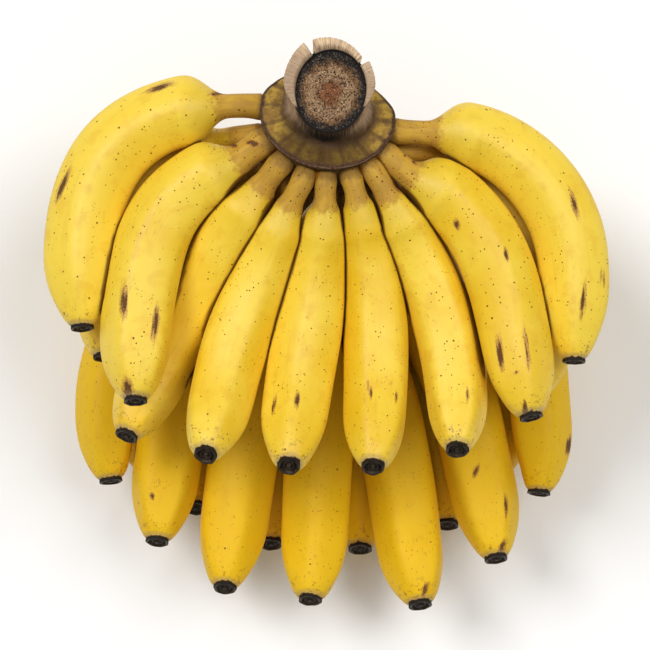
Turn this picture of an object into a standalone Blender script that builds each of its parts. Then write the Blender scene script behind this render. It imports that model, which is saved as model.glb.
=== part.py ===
"""A bunch of ripe bananas on its cut stalk, lying down with the cut end up.

Two hands of fruit, each in two rows, grow from two cushions on the stalk.
All lengths in this file are millimetres until the meshes are made in metres.
"""
import math

import bmesh
import bpy
import numpy as np
from mathutils import Vector
from mathutils.bvhtree import BVHTree

METRES = 0.001
GAP = 0.45

# The plan positions and thicknesses below are as they look from straight above,
# from this height, so whatever lies deeper is spread out to match.
VIEW_HEIGHT = 1300.0
FLOOR = -130.0
CENTRE_X = 0.8
CENTRE_Y = -4.5

# Stalk, measured along its axis from the scar ring of the front hand.
SCAR_CENTRE = (1.5, 106.0, 0.0)
SCAR_TILT = 30.0
UPPER_TILT = 20.0
UPPER_BEND = 12.0
LOWER_TILT = 41.0
SCAR_LEAN = 8.0
LOWER_SCAR_Y = 46.0
LOWER_SCAR_Z = -78.0
FURTHEST_SHARE = 1.6
SIDE_BOW = 1.5
REAR_BOW = 2.5
CORE_RADIUS = 17.4
CORE_OVAL = 0.08
RIND = 0.8
RIND_HEIGHT = 0.8
FACE_DIP = 0.4
CUT_HEIGHT = 26.6
WALL_BASE = 9.0
SIDE_FULLNESS = 3.0
SIDE_HEIGHT = 6.0
SIDE_SPREAD = 5.0
REAR_FROM = 0.1
REAR_SPAN = 0.8
FLAT_ANGLE = 36.0
FLAT_WIDTH = 24.0
FLAT_DEPTH = 1.8
FRONT_ROW_BELOW_SCAR = 8.5
SECOND_ROW_BELOW_SCAR = 21.0
CUSHION_RIBS = 16
STALK_SIDES = 48

# Fruit.
ROOT_FLARE = 1.6
ROOT_DEPTH = 7.0
ROOT_SHRINK = 0.85
ROOT_STAND = 1.0
ROOT_SLOPE = 0.35
ROOT_SEARCH = 3.0
ROOT_MISSED = 0.4
FLARE_FADE = 4.0
SHOULDER_LEAD = 5.0
FAST_SHOULDER = 20.0
SLOW_SHOULDER = 78.0
TAPER = 43.0
TAPER_POWER = 3.0
SLIM_TAPER = 41.0
SLIM_POWER = 2.3
SLIM_TIPS = (
    "banana_front_1", "banana_front_9", "banana_lower_2",
    "banana_lower_3", "banana_lower_6", "banana_lower_7",
)
TIP_REACH = 1.4
TIP_HALF = 6.1
TIP_LENGTH = 1.8
RIDGES = 5
RIDGE_DEPTH = 0.38
RIDGE_START = 30.0
RIDGE_TURN = 19.0
ROUND_END = 14.0
TIP_HOLLOW = 1.2
SAMPLES = 64

# Where the rings of a fruit lie: past its root, round the end of its neck, and back from its tip.
FIRST_RING = 3.5
NECK_RINGS = (-3.0, 3.0, 8.0, 13.0, 20.0, 32.0)
TIP_RINGS = (TAPER + 4.0, 36.0, 25.0, 15.0, 8.0, TIP_LENGTH - 0.5, 0.8)
BODY_RINGS = 3
FINE_SIDES = 15
PLAIN_SIDES = 10

# How fruits are pressed flat against what they touch.
REACH_BETWEEN = 3.0
REACH_OF_STALK = 24.0
LEAST_SHARE = 0.25
PRESS_STEPS = 10
EXTRA_ROOM = 0.3
ROUNDS = 12
TOUCHING = 0.1

SKIN = "banana_skin"
WOOD = "stalk_fibre"

# Each fruit: name, angle of its root round the scar ring in degrees, thickness,
# half width of its neck, how full its shoulder is, then the points its middle runs
# through from the end of the neck to the tip: right, up the page, towards the viewer.
FRONT_ROW = (
    ("banana_front_1", 172, 40, 6.0, 0.86, (
        (-54, 109, -4), (-74.6, 105.8, -9), (-103.9, 88.4, -12),
        (-120, 52.5, -11), (-122, 32, -8), (-121.5, -1, 0))),
    ("banana_front_2", 208, 39, 7.2, 0.88, (
        (-44, 82, 0), (-61.4, 72.2, -3), (-77.4, 58.2, -3),
        (-89.8, 27.5, 0), (-94.2, -7.5, 7), (-94.8, -37.5, 18))),
    ("banana_front_3", 234, 35.5, 6.0, 0.85, (
        (-31.5, 69, 3), (-52.2, 40.3, -11), (-69.3, 4.6, -24),
        (-82.4, -20.4, -29), (-91, -37.5, -27), (-99, -55, -18))),
    ("banana_front_4", 258, 35.5, 5.6, 0.62, (
        (-17.5, 60, 6), (-25, 42.5, -2), (-36.2, 14.4, -9),
        (-45.2, -9.6, -7), (-53.2, -40, 4), (-59.5, -64.5, 26))),
    ("banana_front_5", 275, 36.5, 5.1, 0.55, (
        (0, 60, 8), (-1.5, 45, 0), (-5.5, 15, -9),
        (-10.5, -15, -8), (-15, -45, 3), (-18, -70, 25))),
    ("banana_front_6", 297, 34.5, 5.1, 0.55, (
        (16, 62.5, 8), (19.5, 47.5, 0), (24.5, 17.5, -9),
        (26, -12.5, -8), (25.5, -42.5, 3), (24, -70.5, 25))),
    ("banana_front_7", 316, 33.5, 5.7, 0.78, (
        (31.5, 64, 5), (38.5, 50, -3), (53, 20, -10),
        (62, -10, -8), (66, -40, 2), (66, -62, 18))),
    ("banana_front_8", 334, 38.5, 6.6, 0.88, (
        (43.5, 74.5, 1), (56, 67.5, -4), (78, 45, -5),
        (90, 15, -3), (96, -15, 3), (103, -45.5, 13))),
    ("banana_front_9", 360, 38, 6.0, 0.83, (
        (56, 96, -4), (75, 94, -9), (105, 75, -12),
        (122.5, 42.5, -11), (124.6, 10, -9), (124.6, -17.5, -4))),
)
BEHIND_ROW = (
    ("banana_behind_1", 185, 32, 5.4, 0.75, (
        (-55, 92, -27), (-74, 84, -38), (-92, 65, -43),
        (-104.5, 37.5, -43), (-110.5, 7.5, -40), (-110, -15.5, -32))),
    ("banana_behind_2", 222, 32, 5.4, 0.70, (
        (-40, 70, -22), (-55, 50, -40), (-67.5, 27.5, -54),
        (-76.5, 7.5, -59), (-82.5, -10, -57), (-87.5, -25, -48))),
    ("banana_behind_3", 248, 32, 5.8, 0.60, (
        (-24, 60, -20), (-31, 45, -32), (-39, 14, -43),
        (-47.5, -7.5, -42), (-53.5, -27.5, -34), (-57.5, -47.5, -14))),
    ("banana_behind_4", 276, 32, 5.4, 0.60, (
        (-1.5, 57.5, -18), (-2.5, 42.5, -31), (-6.5, 15, -43),
        (-11, -10, -42), (-14.5, -32.5, -34), (-17, -52.5, -14))),
    ("banana_behind_5", 302, 32, 5.4, 0.60, (
        (21.5, 60, -19), (27, 44, -32), (27, 15.5, -43),
        (26.5, -10, -42), (26, -32.5, -34), (25, -52.5, -14))),
    ("banana_behind_6", 322, 32, 5.8, 0.60, (
        (37, 63.5, -20), (47, 48, -33), (56, 17.5, -43),
        (63.5, -7.5, -42), (66.5, -27.5, -36), (67, -46.5, -20))),
    ("banana_behind_7", 353, 34, 5.4, 0.75, (
        (62, 84.5, -27), (78, 73, -37), (93, 54, -40),
        (104, 30, -41), (109, 0, -38), (104.5, -35, -30))),
)
LOWER_ROW = (
    ("banana_lower_1", 185, 32, 5.8, 0.70, (
        (-62, 50, -82), (-90, 30, -84), (-102.5, -5, -84),
        (-108.3, -27.5, -82), (-109, -57.5, -79), (-107, -77.5, -74))),
    ("banana_lower_2", 212, 36.5, 5.8, 0.65, (
        (-45, 20, -76), (-62, -8, -82), (-72.5, -32, -84),
        (-77.3, -57.5, -80), (-81.2, -87.5, -70), (-83.8, -107.8, -60))),
    ("banana_lower_3", 240, 37.2, 5.8, 0.60, (
        (-20, 10, -70), (-30, -15, -79), (-37.5, -45, -83),
        (-43, -77.5, -81), (-47.3, -107.5, -72), (-50, -131, -58))),
    ("banana_lower_4", 268, 36, 5.8, 0.60, (
        (0, 6, -69), (-1, -20, -79), (-2, -48, -83),
        (-3.8, -77.5, -82), (-5.3, -107.5, -74), (-7.5, -137, -58))),
    ("banana_lower_5", 297, 36.5, 5.8, 0.60, (
        (14, 8, -70), (25, -18, -79), (32, -45, -83),
        (37.5, -75, -82), (42.8, -110, -73), (47.5, -139.5, -58))),
    ("banana_lower_6", 325, 36.5, 5.8, 0.65, (
        (40, 18, -76), (56, -10, -82), (68, -35, -84),
        (74.7, -62.5, -80), (81.2, -92.5, -71), (85.5, -116.5, -60))),
    ("banana_lower_7", 352, 33, 5.8, 0.70, (
        (60, 46, -82), (88, 26, -84), (102.5, -5, -84),
        (106.5, -37.5, -82), (108.3, -67.5, -78), (107, -83.5, -74))),
)
BACK_ROW = (
    ("banana_back_1", 195, 33, 5.6, 0.70, (
        (-42, 26, -98), (-68, 12, -112), (-85, -12, -113),
        (-91, -38, -112), (-90, -58, -108), (-86, -72, -100))),
    ("banana_back_2", 222, 33, 5.6, 0.65, (
        (-28, 11, -93), (-42, -8, -109), (-53, -34, -113),
        (-59, -58, -112), (-63, -78, -107), (-64.5, -91, -98))),
    ("banana_back_3", 252, 33, 5.6, 0.65, (
        (-10, -2, -87), (-18, -22, -105), (-22, -47, -113),
        (-25, -70, -112), (-26.5, -92, -108), (-27, -109, -98))),
    ("banana_back_4", 284, 33, 5.6, 0.65, (
        (9, -2, -87), (14, -22, -105), (16, -47, -113),
        (17, -70, -112), (17.5, -92, -108), (17.5, -111.5, -98))),
    ("banana_back_5", 313, 33, 5.6, 0.65, (
        (29, 11, -93), (43, -8, -109), (52, -34, -113),
        (57, -60, -112), (60, -82, -107), (61, -99.5, -98))),
    ("banana_back_6", 340, 33, 5.6, 0.70, (
        (42, 28, -98), (68, 12, -112), (84, -12, -113),
        (89, -38, -112), (88, -58, -108), (84, -74, -100))),
)
ROWS = (
    (FRONT_ROW, "upper", FRONT_ROW_BELOW_SCAR, FINE_SIDES),
    (BEHIND_ROW, "upper", SECOND_ROW_BELOW_SCAR, PLAIN_SIDES),
    (LOWER_ROW, "lower", FRONT_ROW_BELOW_SCAR, FINE_SIDES),
    (BACK_ROW, "lower", SECOND_ROW_BELOW_SCAR, PLAIN_SIDES),
)


def smooth(u):
    """Ease from 0 to 1 while u goes from 0 to 1."""
    u = np.clip(u, 0.0, 1.0)
    return u * u * (3.0 - 2.0 * u)


def curve_through(points, count):
    """Evenly spaced points on a smooth curve, and how far along each given point is."""
    points = np.array(points, float)
    steps = np.linalg.norm(np.diff(points, axis=0), axis=1)
    knots = np.concatenate(([0.0], np.cumsum(steps)))
    size = len(points)
    system = np.zeros((size, size))
    right = np.zeros((size, 3))
    system[0, 0] = 1.0
    system[-1, -1] = 1.0
    for k in range(1, size - 1):
        before = steps[k - 1]
        after = steps[k]
        system[k, k - 1] = before
        system[k, k] = 2.0 * (before + after)
        system[k, k + 1] = after
        slope_after = (points[k + 1] - points[k]) / after
        slope_before = (points[k] - points[k - 1]) / before
        right[k] = 6.0 * (slope_after - slope_before)
    bend = np.linalg.solve(system, right)
    wanted = np.linspace(0.0, knots[-1], 6 * count)
    cell = np.clip(np.searchsorted(knots, wanted, side="right") - 1, 0, size - 2)
    width = steps[cell][:, None]
    ahead = (knots[cell + 1] - wanted)[:, None]
    past = (wanted - knots[cell])[:, None]
    fine = (bend[cell] * ahead ** 3 + bend[cell + 1] * past ** 3) / (6.0 * width)
    fine += (points[cell] / width - bend[cell] * width / 6.0) * ahead
    fine += (points[cell + 1] / width - bend[cell + 1] * width / 6.0) * past
    run = np.concatenate(([0.0], np.cumsum(np.linalg.norm(np.diff(fine, axis=0), axis=1))))
    along = np.linspace(0.0, run[-1], count)
    even = np.stack([np.interp(along, run, fine[:, k]) for k in range(3)], axis=1)
    reached = np.interp(knots, wanted, run)
    return even, along, reached


def stalk_frame(axial):
    """Centre, axis, rightward and rearward directions of the stalk at a height on its axis."""
    lower_run = math.hypot(SCAR_CENTRE[1] - LOWER_SCAR_Y, LOWER_SCAR_Z)
    share = min(max(-axial / lower_run, 0.0), FURTHEST_SHARE)
    eased = min(share, 1.0)
    rise = max(axial, 0.0)
    bent = float(smooth(rise / UPPER_BEND))
    tilt = SCAR_TILT + (LOWER_TILT - SCAR_TILT) * eased + (UPPER_TILT - SCAR_TILT) * bent
    tilt = math.radians(tilt)
    lean = math.radians(SCAR_LEAN * (1.0 - eased))
    bow = 4.0 * share * (1.0 - share)
    x = SCAR_CENTRE[0] - SIDE_BOW * bow
    y = SCAR_CENTRE[1] + (LOWER_SCAR_Y - SCAR_CENTRE[1]) * share + REAR_BOW * bow
    centre = np.array([x, y, LOWER_SCAR_Z * share])
    plan = np.array([math.sin(lean), math.cos(lean), 0.0])
    up = np.array([0.0, 0.0, 1.0])
    axis = plan * math.sin(tilt) + up * math.cos(tilt)
    rear = plan * math.cos(tilt) - up * math.sin(tilt)
    right = np.cross(rear, axis)
    upper = math.radians(UPPER_TILT)
    climb = plan * math.sin(upper) + up * math.cos(upper)
    return centre + climb * rise, axis, right, rear


LOWER_SCAR_AXIAL = -math.hypot(SCAR_CENTRE[1] - LOWER_SCAR_Y, LOWER_SCAR_Z)
# Down the stalk: distance from the scar ring, radius in front, radius at the rear, ribs.
STALK_PROFILE = (
    (WALL_BASE, 19.4, 20.4, 0.0),
    (6.0, 20.0, 21.4, 0.5),
    (4.0, 21.4, 22.8, 1.1),
    (2.8, 24.0, 24.2, 1.6),
    (2.1, 27.2, 25.6, 1.7),
    (1.5, 30.6, 27.0, 1.0),
    (0.8, 33.4, 28.2, 0.3),
    (-0.6, 33.8, 28.4, 0.0),
    (-2.0, 33.2, 28.0, 0.0),
    (-2.8, 31.4, 26.6, 0.0),
    (-9.0, 31.0, 25.6, 0.0),
    (-18.0, 30.4, 24.6, 0.0),
    (-28.0, 29.0, 23.4, 0.0),
    (-33.0, 25.6, 22.0, 0.0),
    (-40.0, 20.5, 19.5, 0.0),
    (-52.0, 18.0, 18.0, 0.3),
    (-68.0, 17.4, 17.4, 0.3),
    (LOWER_SCAR_AXIAL + 12.0, 18.4, 17.8, 0.2),
    (LOWER_SCAR_AXIAL + 6.0, 22.0, 19.6, 0.0),
    (LOWER_SCAR_AXIAL + 1.5, 27.4, 22.6, 0.0),
    (LOWER_SCAR_AXIAL, 28.2, 23.0, 0.0),
    (LOWER_SCAR_AXIAL - 1.8, 27.4, 22.6, 0.0),
    (LOWER_SCAR_AXIAL - 2.6, 26.0, 21.6, 0.0),
    (LOWER_SCAR_AXIAL - 10.0, 25.4, 21.0, 0.0),
    (LOWER_SCAR_AXIAL - 19.0, 24.8, 20.0, 0.0),
    (LOWER_SCAR_AXIAL - 27.0, 23.4, 18.6, 0.0),
)
# The torn rind round the cut: its two end angles, its thickness and height at each end,
# and over how many degrees it fades in and out.
FLAPS = (
    (222.0, 127.0, 5.2, 7.0, 2.0, 4.2, 46.0, 3.5),
    (123.5, 49.0, 5.2, 2.8, 5.6, 1.6, 3.5, 3.5),
    (46.0, -28.0, 4.8, 4.2, 2.0, 1.0, 3.5, 46.0),
)
FLAP_LEAN = 0.2
# Rings of the cut face: share of the way out, and how far below the cut they lie.
FACE_RINGS = ((0.35, 0.5), (0.75, 0.1), (0.96, 0.7))
# Rings of the torn rind: share of its height, and share of its thickness.
RIND_RINGS = ((0.1, 0.0), (0.9, 0.15), (1.0, 0.5), (0.85, 0.95), (0.0, 1.0))
WALL_RINGS = (0.82, 0.6, 0.4, 0.2)
FOOT_CENTRE = (1.5, 17.0)
FOOT_RADIUS = 14.0


def stalk_radius(axial, angle):
    """Radius of the stalk at a height and an angle, 90 degrees being the rear."""
    heights = [row[0] for row in reversed(STALK_PROFILE)]
    front = np.interp(axial, heights, [row[1] for row in reversed(STALK_PROFILE)])
    rear = np.interp(axial, heights, [row[2] for row in reversed(STALK_PROFILE)])
    ribs = np.interp(axial, heights, [row[3] for row in reversed(STALK_PROFILE)])
    turn = math.radians(angle)
    rearward = float(smooth((math.sin(turn) - REAR_FROM) / REAR_SPAN))
    rib = 0.5 + 0.5 * math.cos(CUSHION_RIBS * turn)
    sideways = SIDE_FULLNESS * math.cos(turn) ** 2 * math.exp(-((axial - SIDE_HEIGHT) / SIDE_SPREAD) ** 2)
    flat = FLAT_DEPTH * math.exp(-(((angle + 180.0) % 360.0 - 180.0 - FLAT_ANGLE) / FLAT_WIDTH) ** 2)
    radius = front + (rear - front) * rearward - ribs * rib + sideways - flat
    climb = float(smooth((axial - WALL_BASE) / (cut_height(angle, 1.0) - WALL_BASE)))
    thick, _ = rind(angle)
    return radius + (core_edge(angle) + thick - radius) * climb


def core_edge(angle):
    """Radius of the cut face, a little longer to front and rear than it is wide."""
    return CORE_RADIUS * (1.0 + CORE_OVAL * math.sin(math.radians(angle)) ** 2)


def cut_height(angle, share):
    """Height of the slanted cut at a share of the way from its middle to its edge."""
    rearward = share * core_edge(angle) * math.sin(math.radians(angle))
    return CUT_HEIGHT + rearward * math.tan(math.radians(UPPER_TILT))


def rind(angle):
    """Thickness of the torn rind at an angle, and how far it stands past the cut face."""
    thick = RIND
    tall = RIND_HEIGHT
    for first, last, thick_first, thick_last, tall_first, tall_last, fade_in, fade_out in FLAPS:
        past = (first - angle) % 360.0
        share = past / (first - last)
        if share > 1.0:
            continue
        strength = float(smooth(past / fade_in) * smooth((first - last - past) / fade_out))
        thick += (thick_first + (thick_last - thick_first) * share - RIND) * strength
        tall += (tall_first + (tall_last - tall_first) * share) * strength
    return thick, tall


def stalk_rings():
    """All the rings of stalk points, from the middle of the cut face down to the foot."""
    angles = [360.0 * k / STALK_SIDES for k in range(STALK_SIDES)]
    rings = []

    def ring(place):
        rings.append([place(angle) for angle in angles])

    def at(axial, radius, angle):
        centre, _, right, rear = stalk_frame(axial)
        turn = math.radians(angle)
        return centre + radius * (math.cos(turn) * right + math.sin(turn) * rear)

    def flap(angle, share, outward):
        thick, tall = rind(angle)
        lean = FLAP_LEAN * tall * share * share
        height = cut_height(angle, 1.0) + tall * share
        return at(height, core_edge(angle) + lean + thick * outward, angle)

    def wall(angle, share):
        height = WALL_BASE + (cut_height(angle, 1.0) - WALL_BASE) * share
        return at(height, stalk_radius(height, angle), angle)

    for share, sunk in FACE_RINGS:
        ring(lambda a, s=share, d=sunk: at(cut_height(a, s) - d, core_edge(a) * s, a))
    for share, outward in RIND_RINGS:
        ring(lambda a, s=share, o=outward: flap(a, s, o))
    for share in WALL_RINGS:
        ring(lambda a, s=share: wall(a, s))
    for axial, _, _, _ in STALK_PROFILE:
        ring(lambda a, h=axial: at(h, stalk_radius(h, a), a))

    last_axial = STALK_PROFILE[-1][0]
    foot = np.array([FOOT_CENTRE[0], FOOT_CENTRE[1], FLOOR])

    def foot_point(angle, share):
        turn = math.radians(angle)
        flat = np.array([math.cos(turn), math.sin(turn), 0.0])
        upper = at(last_axial, stalk_radius(last_axial, angle), angle)
        lower = foot + FOOT_RADIUS * flat
        return upper + (lower - upper) * share

    ring(lambda a: foot_point(a, 0.5))
    ring(lambda a: foot_point(a, 1.0))
    top = at(CUT_HEIGHT - FACE_DIP, 0.0, 0.0)
    return top, rings, foot


def tube_faces(rings, sides, first, last):
    """Faces of a closed tube: cap round the first point, walls, cap round the last."""
    faces = []
    for k in range(sides):
        n = (k + 1) % sides
        faces.append((first, 1 + k, 1 + n))
        base = 1 + (rings - 1) * sides
        faces.append((base + k, last, base + n))
    for r in range(rings - 1):
        low = 1 + r * sides
        high = low + sides
        for k in range(sides):
            n = (k + 1) % sides
            faces.append((low + k, high + k, high + n))
            faces.append((low + k, high + n, low + n))
    return faces


class Fruit:
    """The middle line, frame and thickness of one fruit."""

    def __init__(self, spec, hand, below, sides, number):
        self.name, angle, thickness, self.neck, self.fullness, seen = spec
        self.sides = sides
        self.turn = math.radians(RIDGE_TURN * number)
        scar = 0.0 if hand == "upper" else LOWER_SCAR_AXIAL
        axial = scar - below
        centre, _, right, rear = stalk_frame(axial)
        turn = math.radians(angle)
        outward = math.cos(turn) * right + math.sin(turn) * rear
        surface = stalk_radius(axial, angle)
        line = [centre + outward * (surface - ROOT_DEPTH), centre + outward * (surface + ROOT_STAND)]
        for x, y, z in seen:
            spread = (VIEW_HEIGHT - z) / VIEW_HEIGHT
            line.append(np.array([x * spread, y * spread, z]))
        last_leg = line[-1] - line[-2]
        line[-1] = line[-1] + TIP_REACH * last_leg / np.linalg.norm(last_leg)
        self.line, self.along, reached = curve_through(line, SAMPLES)
        self.length = self.along[-1]
        self.root_run = reached[1]
        self.neck_run = reached[2]
        self.half = 0.5 * thickness
        ahead = np.gradient(self.line, axis=0)
        self.ahead = ahead / np.linalg.norm(ahead, axis=1)[:, None]
        up = np.array([0.0, 0.0, 1.0]) - self.ahead * self.ahead[:, 2:3]
        self.up = up / np.linalg.norm(up, axis=1)[:, None]
        self.side = np.cross(self.ahead, self.up)
        self.spread = (VIEW_HEIGHT - self.line[:, 2]) / VIEW_HEIGHT
        self.radii = self.half_width(self.along)

    def half_width(self, run):
        """Half the thickness at a distance along the fruit."""
        quick = smooth((run - self.neck_run + SHOULDER_LEAD) / FAST_SHOULDER)
        slow = smooth((run - self.neck_run + SHOULDER_LEAD) / SLOW_SHOULDER)
        rise = self.fullness * quick + (1.0 - self.fullness) * slow
        wide = self.neck + (self.half - self.neck) * rise
        taper, power = (SLIM_TAPER, SLIM_POWER) if self.name in SLIM_TIPS else (TAPER, TAPER_POWER)
        left = (run - (self.length - taper)) / (taper - TIP_LENGTH)
        fall = 1.0 - (1.0 - TIP_HALF / self.half) * np.clip(left, 0.0, 1.0) ** power
        flare = ROOT_FLARE * np.exp(-np.clip(run - self.root_run, 0.0, None) / FLARE_FADE)
        spread = np.interp(run, self.along, self.spread)
        return (wide * fall + flare) * spread

    def frame(self, run):
        """Centre, up and side directions at distances along the fruit."""
        parts = []
        for values in (self.line, self.up, self.side):
            parts.append(np.stack([np.interp(run, self.along, values[:, k]) for k in range(3)], axis=-1))
        return parts

    def section(self, angle, run):
        """The five soft ridges, strongest along the body."""
        step = 2.0 * math.pi / RIDGES
        off = (angle - self.turn) % step - 0.5 * step
        ridge = math.cos(0.5 * step) / np.cos(off)
        strength = RIDGE_DEPTH * smooth((run - self.neck_run) / RIDGE_START)
        strength *= smooth((self.length - run) / ROUND_END)
        return 1.0 - strength * (1.0 - ridge)


def depth_in(fruit, points):
    """Signed distance of points from a fruit: its middle line less its half width."""
    start = fruit.line[:-1]
    leg = fruit.line[1:] - start
    leg_squared = (leg ** 2).sum(axis=1)
    away = points[:, None, :] - start[None]
    share = np.clip((away * leg[None]).sum(axis=2) / leg_squared, 0.0, 1.0)
    gap = np.linalg.norm(away - share[:, :, None] * leg[None], axis=2)
    radius = fruit.radii[:-1] + share * (fruit.radii[1:] - fruit.radii[:-1])
    return (gap - radius).min(axis=1)


def neighbours(fruit, fruits):
    """The fruits near enough to press on this one."""
    near = []
    for other in fruits:
        if other is fruit:
            continue
        between = np.linalg.norm(fruit.line[:, None, :] - other.line[None], axis=2)
        between -= fruit.radii[:, None] + other.radii[None]
        if between.min() < REACH_BETWEEN:
            near.append(other)
    return near


def pressed(fruit, near, clearances, stalk_tree, centre, direction, radius, base):
    """Largest radius, up to the one given, that leaves the stalk and each neighbour clear."""
    stalk_clearance = clearances.get((fruit.name, "stalk"), GAP)

    def crowding(reach):
        points = centre + direction * reach[:, None]
        worst = np.full(len(reach), -1e9)
        for other in near:
            clearance = clearances.get((fruit.name, other.name), GAP)
            worst = np.maximum(worst, (reach - base) - depth_in(other, points) + clearance)
        for k in np.flatnonzero(beside_stalk):
            hit, normal, _, away = stalk_tree.find_nearest(Vector(points[k]))
            inside = (Vector(points[k]) - hit).dot(normal) < 0.0
            worst[k] = max(worst[k], stalk_clearance - (-away if inside else away))
        return worst

    beside_stalk = np.array([stalk_tree.find_nearest(Vector(c))[3] < REACH_OF_STALK for c in centre])
    low = LEAST_SHARE * radius
    high = radius.copy()
    crowded = crowding(high) > 0.0
    for _ in range(PRESS_STEPS):
        middle = 0.5 * (low + high)
        tight = crowding(middle) > 0.0
        high = np.where(tight, middle, high)
        low = np.where(tight, low, middle)
    return np.where(crowded, low, radius)


def ring_runs(fruit):
    """Distances along the fruit at which its rings lie."""
    runs = [fruit.root_run + FIRST_RING]
    runs += [fruit.neck_run + past for past in NECK_RINGS]
    ends = [fruit.length - back for back in TIP_RINGS]
    between = BODY_RINGS if fruit.sides == FINE_SIDES else BODY_RINGS - 1
    body = np.linspace(runs[-1], ends[0], between + 2)[1:-1]
    return np.array(sorted(runs + list(body) + ends))


def fruit_mesh(fruit, near, clearances, stalk_tree):
    """Points and faces of one fruit, from the stalk to the dried tip."""
    sides = fruit.sides
    runs = ring_runs(fruit)
    angles = fruit.turn + np.arange(sides) * 2.0 * math.pi / sides
    run_grid = np.repeat(runs, sides)
    angle_grid = np.tile(angles, len(runs))
    centre, up, side = fruit.frame(run_grid)
    direction = np.cos(angle_grid)[:, None] * up + np.sin(angle_grid)[:, None] * side
    base = fruit.half_width(run_grid)
    radius = base * fruit.section(angle_grid, run_grid)
    radius = pressed(fruit, near, clearances, stalk_tree, centre, direction, radius, base)
    rows = (centre + direction * radius[:, None]).reshape(len(runs), sides, 3)

    inner = fruit.line[0]
    clearance = clearances.get((fruit.name, "stalk"), GAP)
    root = []
    for point in rows[0]:
        target = inner + ROOT_SHRINK * (point - centre[0])
        root.append(land_on_stalk(point, target, clearance, stalk_tree))
    root_middle = land_on_stalk(centre[0], inner, clearance, stalk_tree)
    end, _, _ = fruit.frame(np.array([fruit.length]))
    end_middle = end[0] - fruit.ahead[-1] * TIP_HOLLOW
    points = [root_middle] + root
    for row in rows:
        points += list(row)
    points.append(end_middle)
    for point in points:
        point[2] = max(point[2], FLOOR)
    return points, tube_faces(len(rows) + 1, sides, 0, len(points) - 1)


def land_on_stalk(outer, inner, clearance, stalk_tree):
    """The point just off the stalk on the way in from an outer point."""
    way = Vector(inner - outer)
    hit, normal, _, _ = stalk_tree.ray_cast(Vector(outer), way.normalized(), way.length * ROOT_SEARCH)
    if hit is None:
        return outer + (inner - outer) * ROOT_MISSED
    lean = max(ROOT_SLOPE, abs(way.normalized().dot(normal)))
    return np.array(hit) - np.array(way.normalized()) * (clearance / lean)


def skin_material(name, colour, roughness):
    """A plain material in the colour of the piece."""
    material = bpy.data.materials.new(name)
    material.use_nodes = True
    shader = material.node_tree.nodes["Principled BSDF"]
    shader.inputs["Base Color"].default_value = colour
    shader.inputs["Roughness"].default_value = roughness
    shader.inputs["Metallic"].default_value = 0.0
    material.diffuse_color = colour
    return material


def add_object(name, points, faces, material, root, holder):
    """A smooth-shaded object from millimetre points, with its origin at its root."""
    shift = np.array([-CENTRE_X, -CENTRE_Y, -FLOOR])
    shape = bmesh.new()
    corners = [shape.verts.new(tuple((point - root) * METRES)) for point in points]
    for face in faces:
        shape.faces.new([corners[k] for k in face])
    bmesh.ops.recalc_face_normals(shape, faces=shape.faces)
    for face in shape.faces:
        face.smooth = True
    mesh = bpy.data.meshes.new(name)
    shape.to_mesh(mesh)
    shape.free()
    mesh.materials.append(material)
    piece = bpy.data.objects.new(name, mesh)
    piece.location = tuple((root + shift) * METRES)
    piece.parent = holder
    bpy.context.scene.collection.objects.link(piece)
    return piece


def build():
    """Clear the scene and make the stalk and every fruit."""
    for old in list(bpy.data.objects):
        bpy.data.objects.remove(old, do_unlink=True)
    skin = skin_material(SKIN, (0.89, 0.62, 0.03, 1.0), 0.45)
    wood = skin_material(WOOD, (0.19, 0.12, 0.05, 1.0), 0.8)

    top, rings, foot = stalk_rings()
    stalk_points = [top]
    for ring in rings:
        stalk_points += ring
    stalk_points.append(foot)
    stalk_faces = tube_faces(len(rings), STALK_SIDES, 0, len(stalk_points) - 1)
    holder = bpy.data.objects.new("bunch", None)
    bpy.context.scene.collection.objects.link(holder)
    add_object("stalk", stalk_points, stalk_faces, wood, top, holder)
    stalk_tree = BVHTree.FromPolygons([tuple(p) for p in stalk_points], stalk_faces)

    fruits = []
    for row, hand, below, sides in ROWS:
        for spec in row:
            fruits.append(Fruit(spec, hand, below, sides, len(fruits)))
    near = {fruit.name: neighbours(fruit, fruits) for fruit in fruits}
    shapes = clear_shapes(fruits, near, stalk_tree)
    for fruit in fruits:
        points, faces = shapes[fruit.name]
        add_object(fruit.name, points, faces, skin, fruit.line[0], holder)


def clear_shapes(fruits, near, stalk_tree):
    """Every fruit's points and faces, with more room wherever flat facets would cross."""
    clearances = {}
    shapes = {}
    trees = {"stalk": stalk_tree}
    changed = list(fruits)
    for _ in range(ROUNDS):
        for fruit in changed:
            points, faces = fruit_mesh(fruit, near[fruit.name], clearances, stalk_tree)
            shapes[fruit.name] = (points, faces)
            trees[fruit.name] = BVHTree.FromPolygons([tuple(p) for p in points], faces, epsilon=TOUCHING)
        crossing = set()
        for fruit in fruits:
            others = [other.name for other in near[fruit.name]] + ["stalk"]
            for other in others:
                if trees[fruit.name].overlap(trees[other]):
                    crossing.add((fruit.name, other))
                    crossing.add((other, fruit.name))
        if not crossing:
            break
        for pair in crossing:
            clearances[pair] = clearances.get(pair, GAP) + EXTRA_ROOM
        touched = {name for pair in crossing for name in pair}
        changed = [fruit for fruit in fruits if fruit.name in touched]
    return shapes


build()
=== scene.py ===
"""The looks of the banana bunch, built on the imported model.

Shapes follow the same middle lines as the solids, with finer surfaces.
Lengths are millimetres until the meshes are made in metres.
"""

import math

import bpy
import numpy as np
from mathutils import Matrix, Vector
from mathutils.bvhtree import BVHTree


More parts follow.
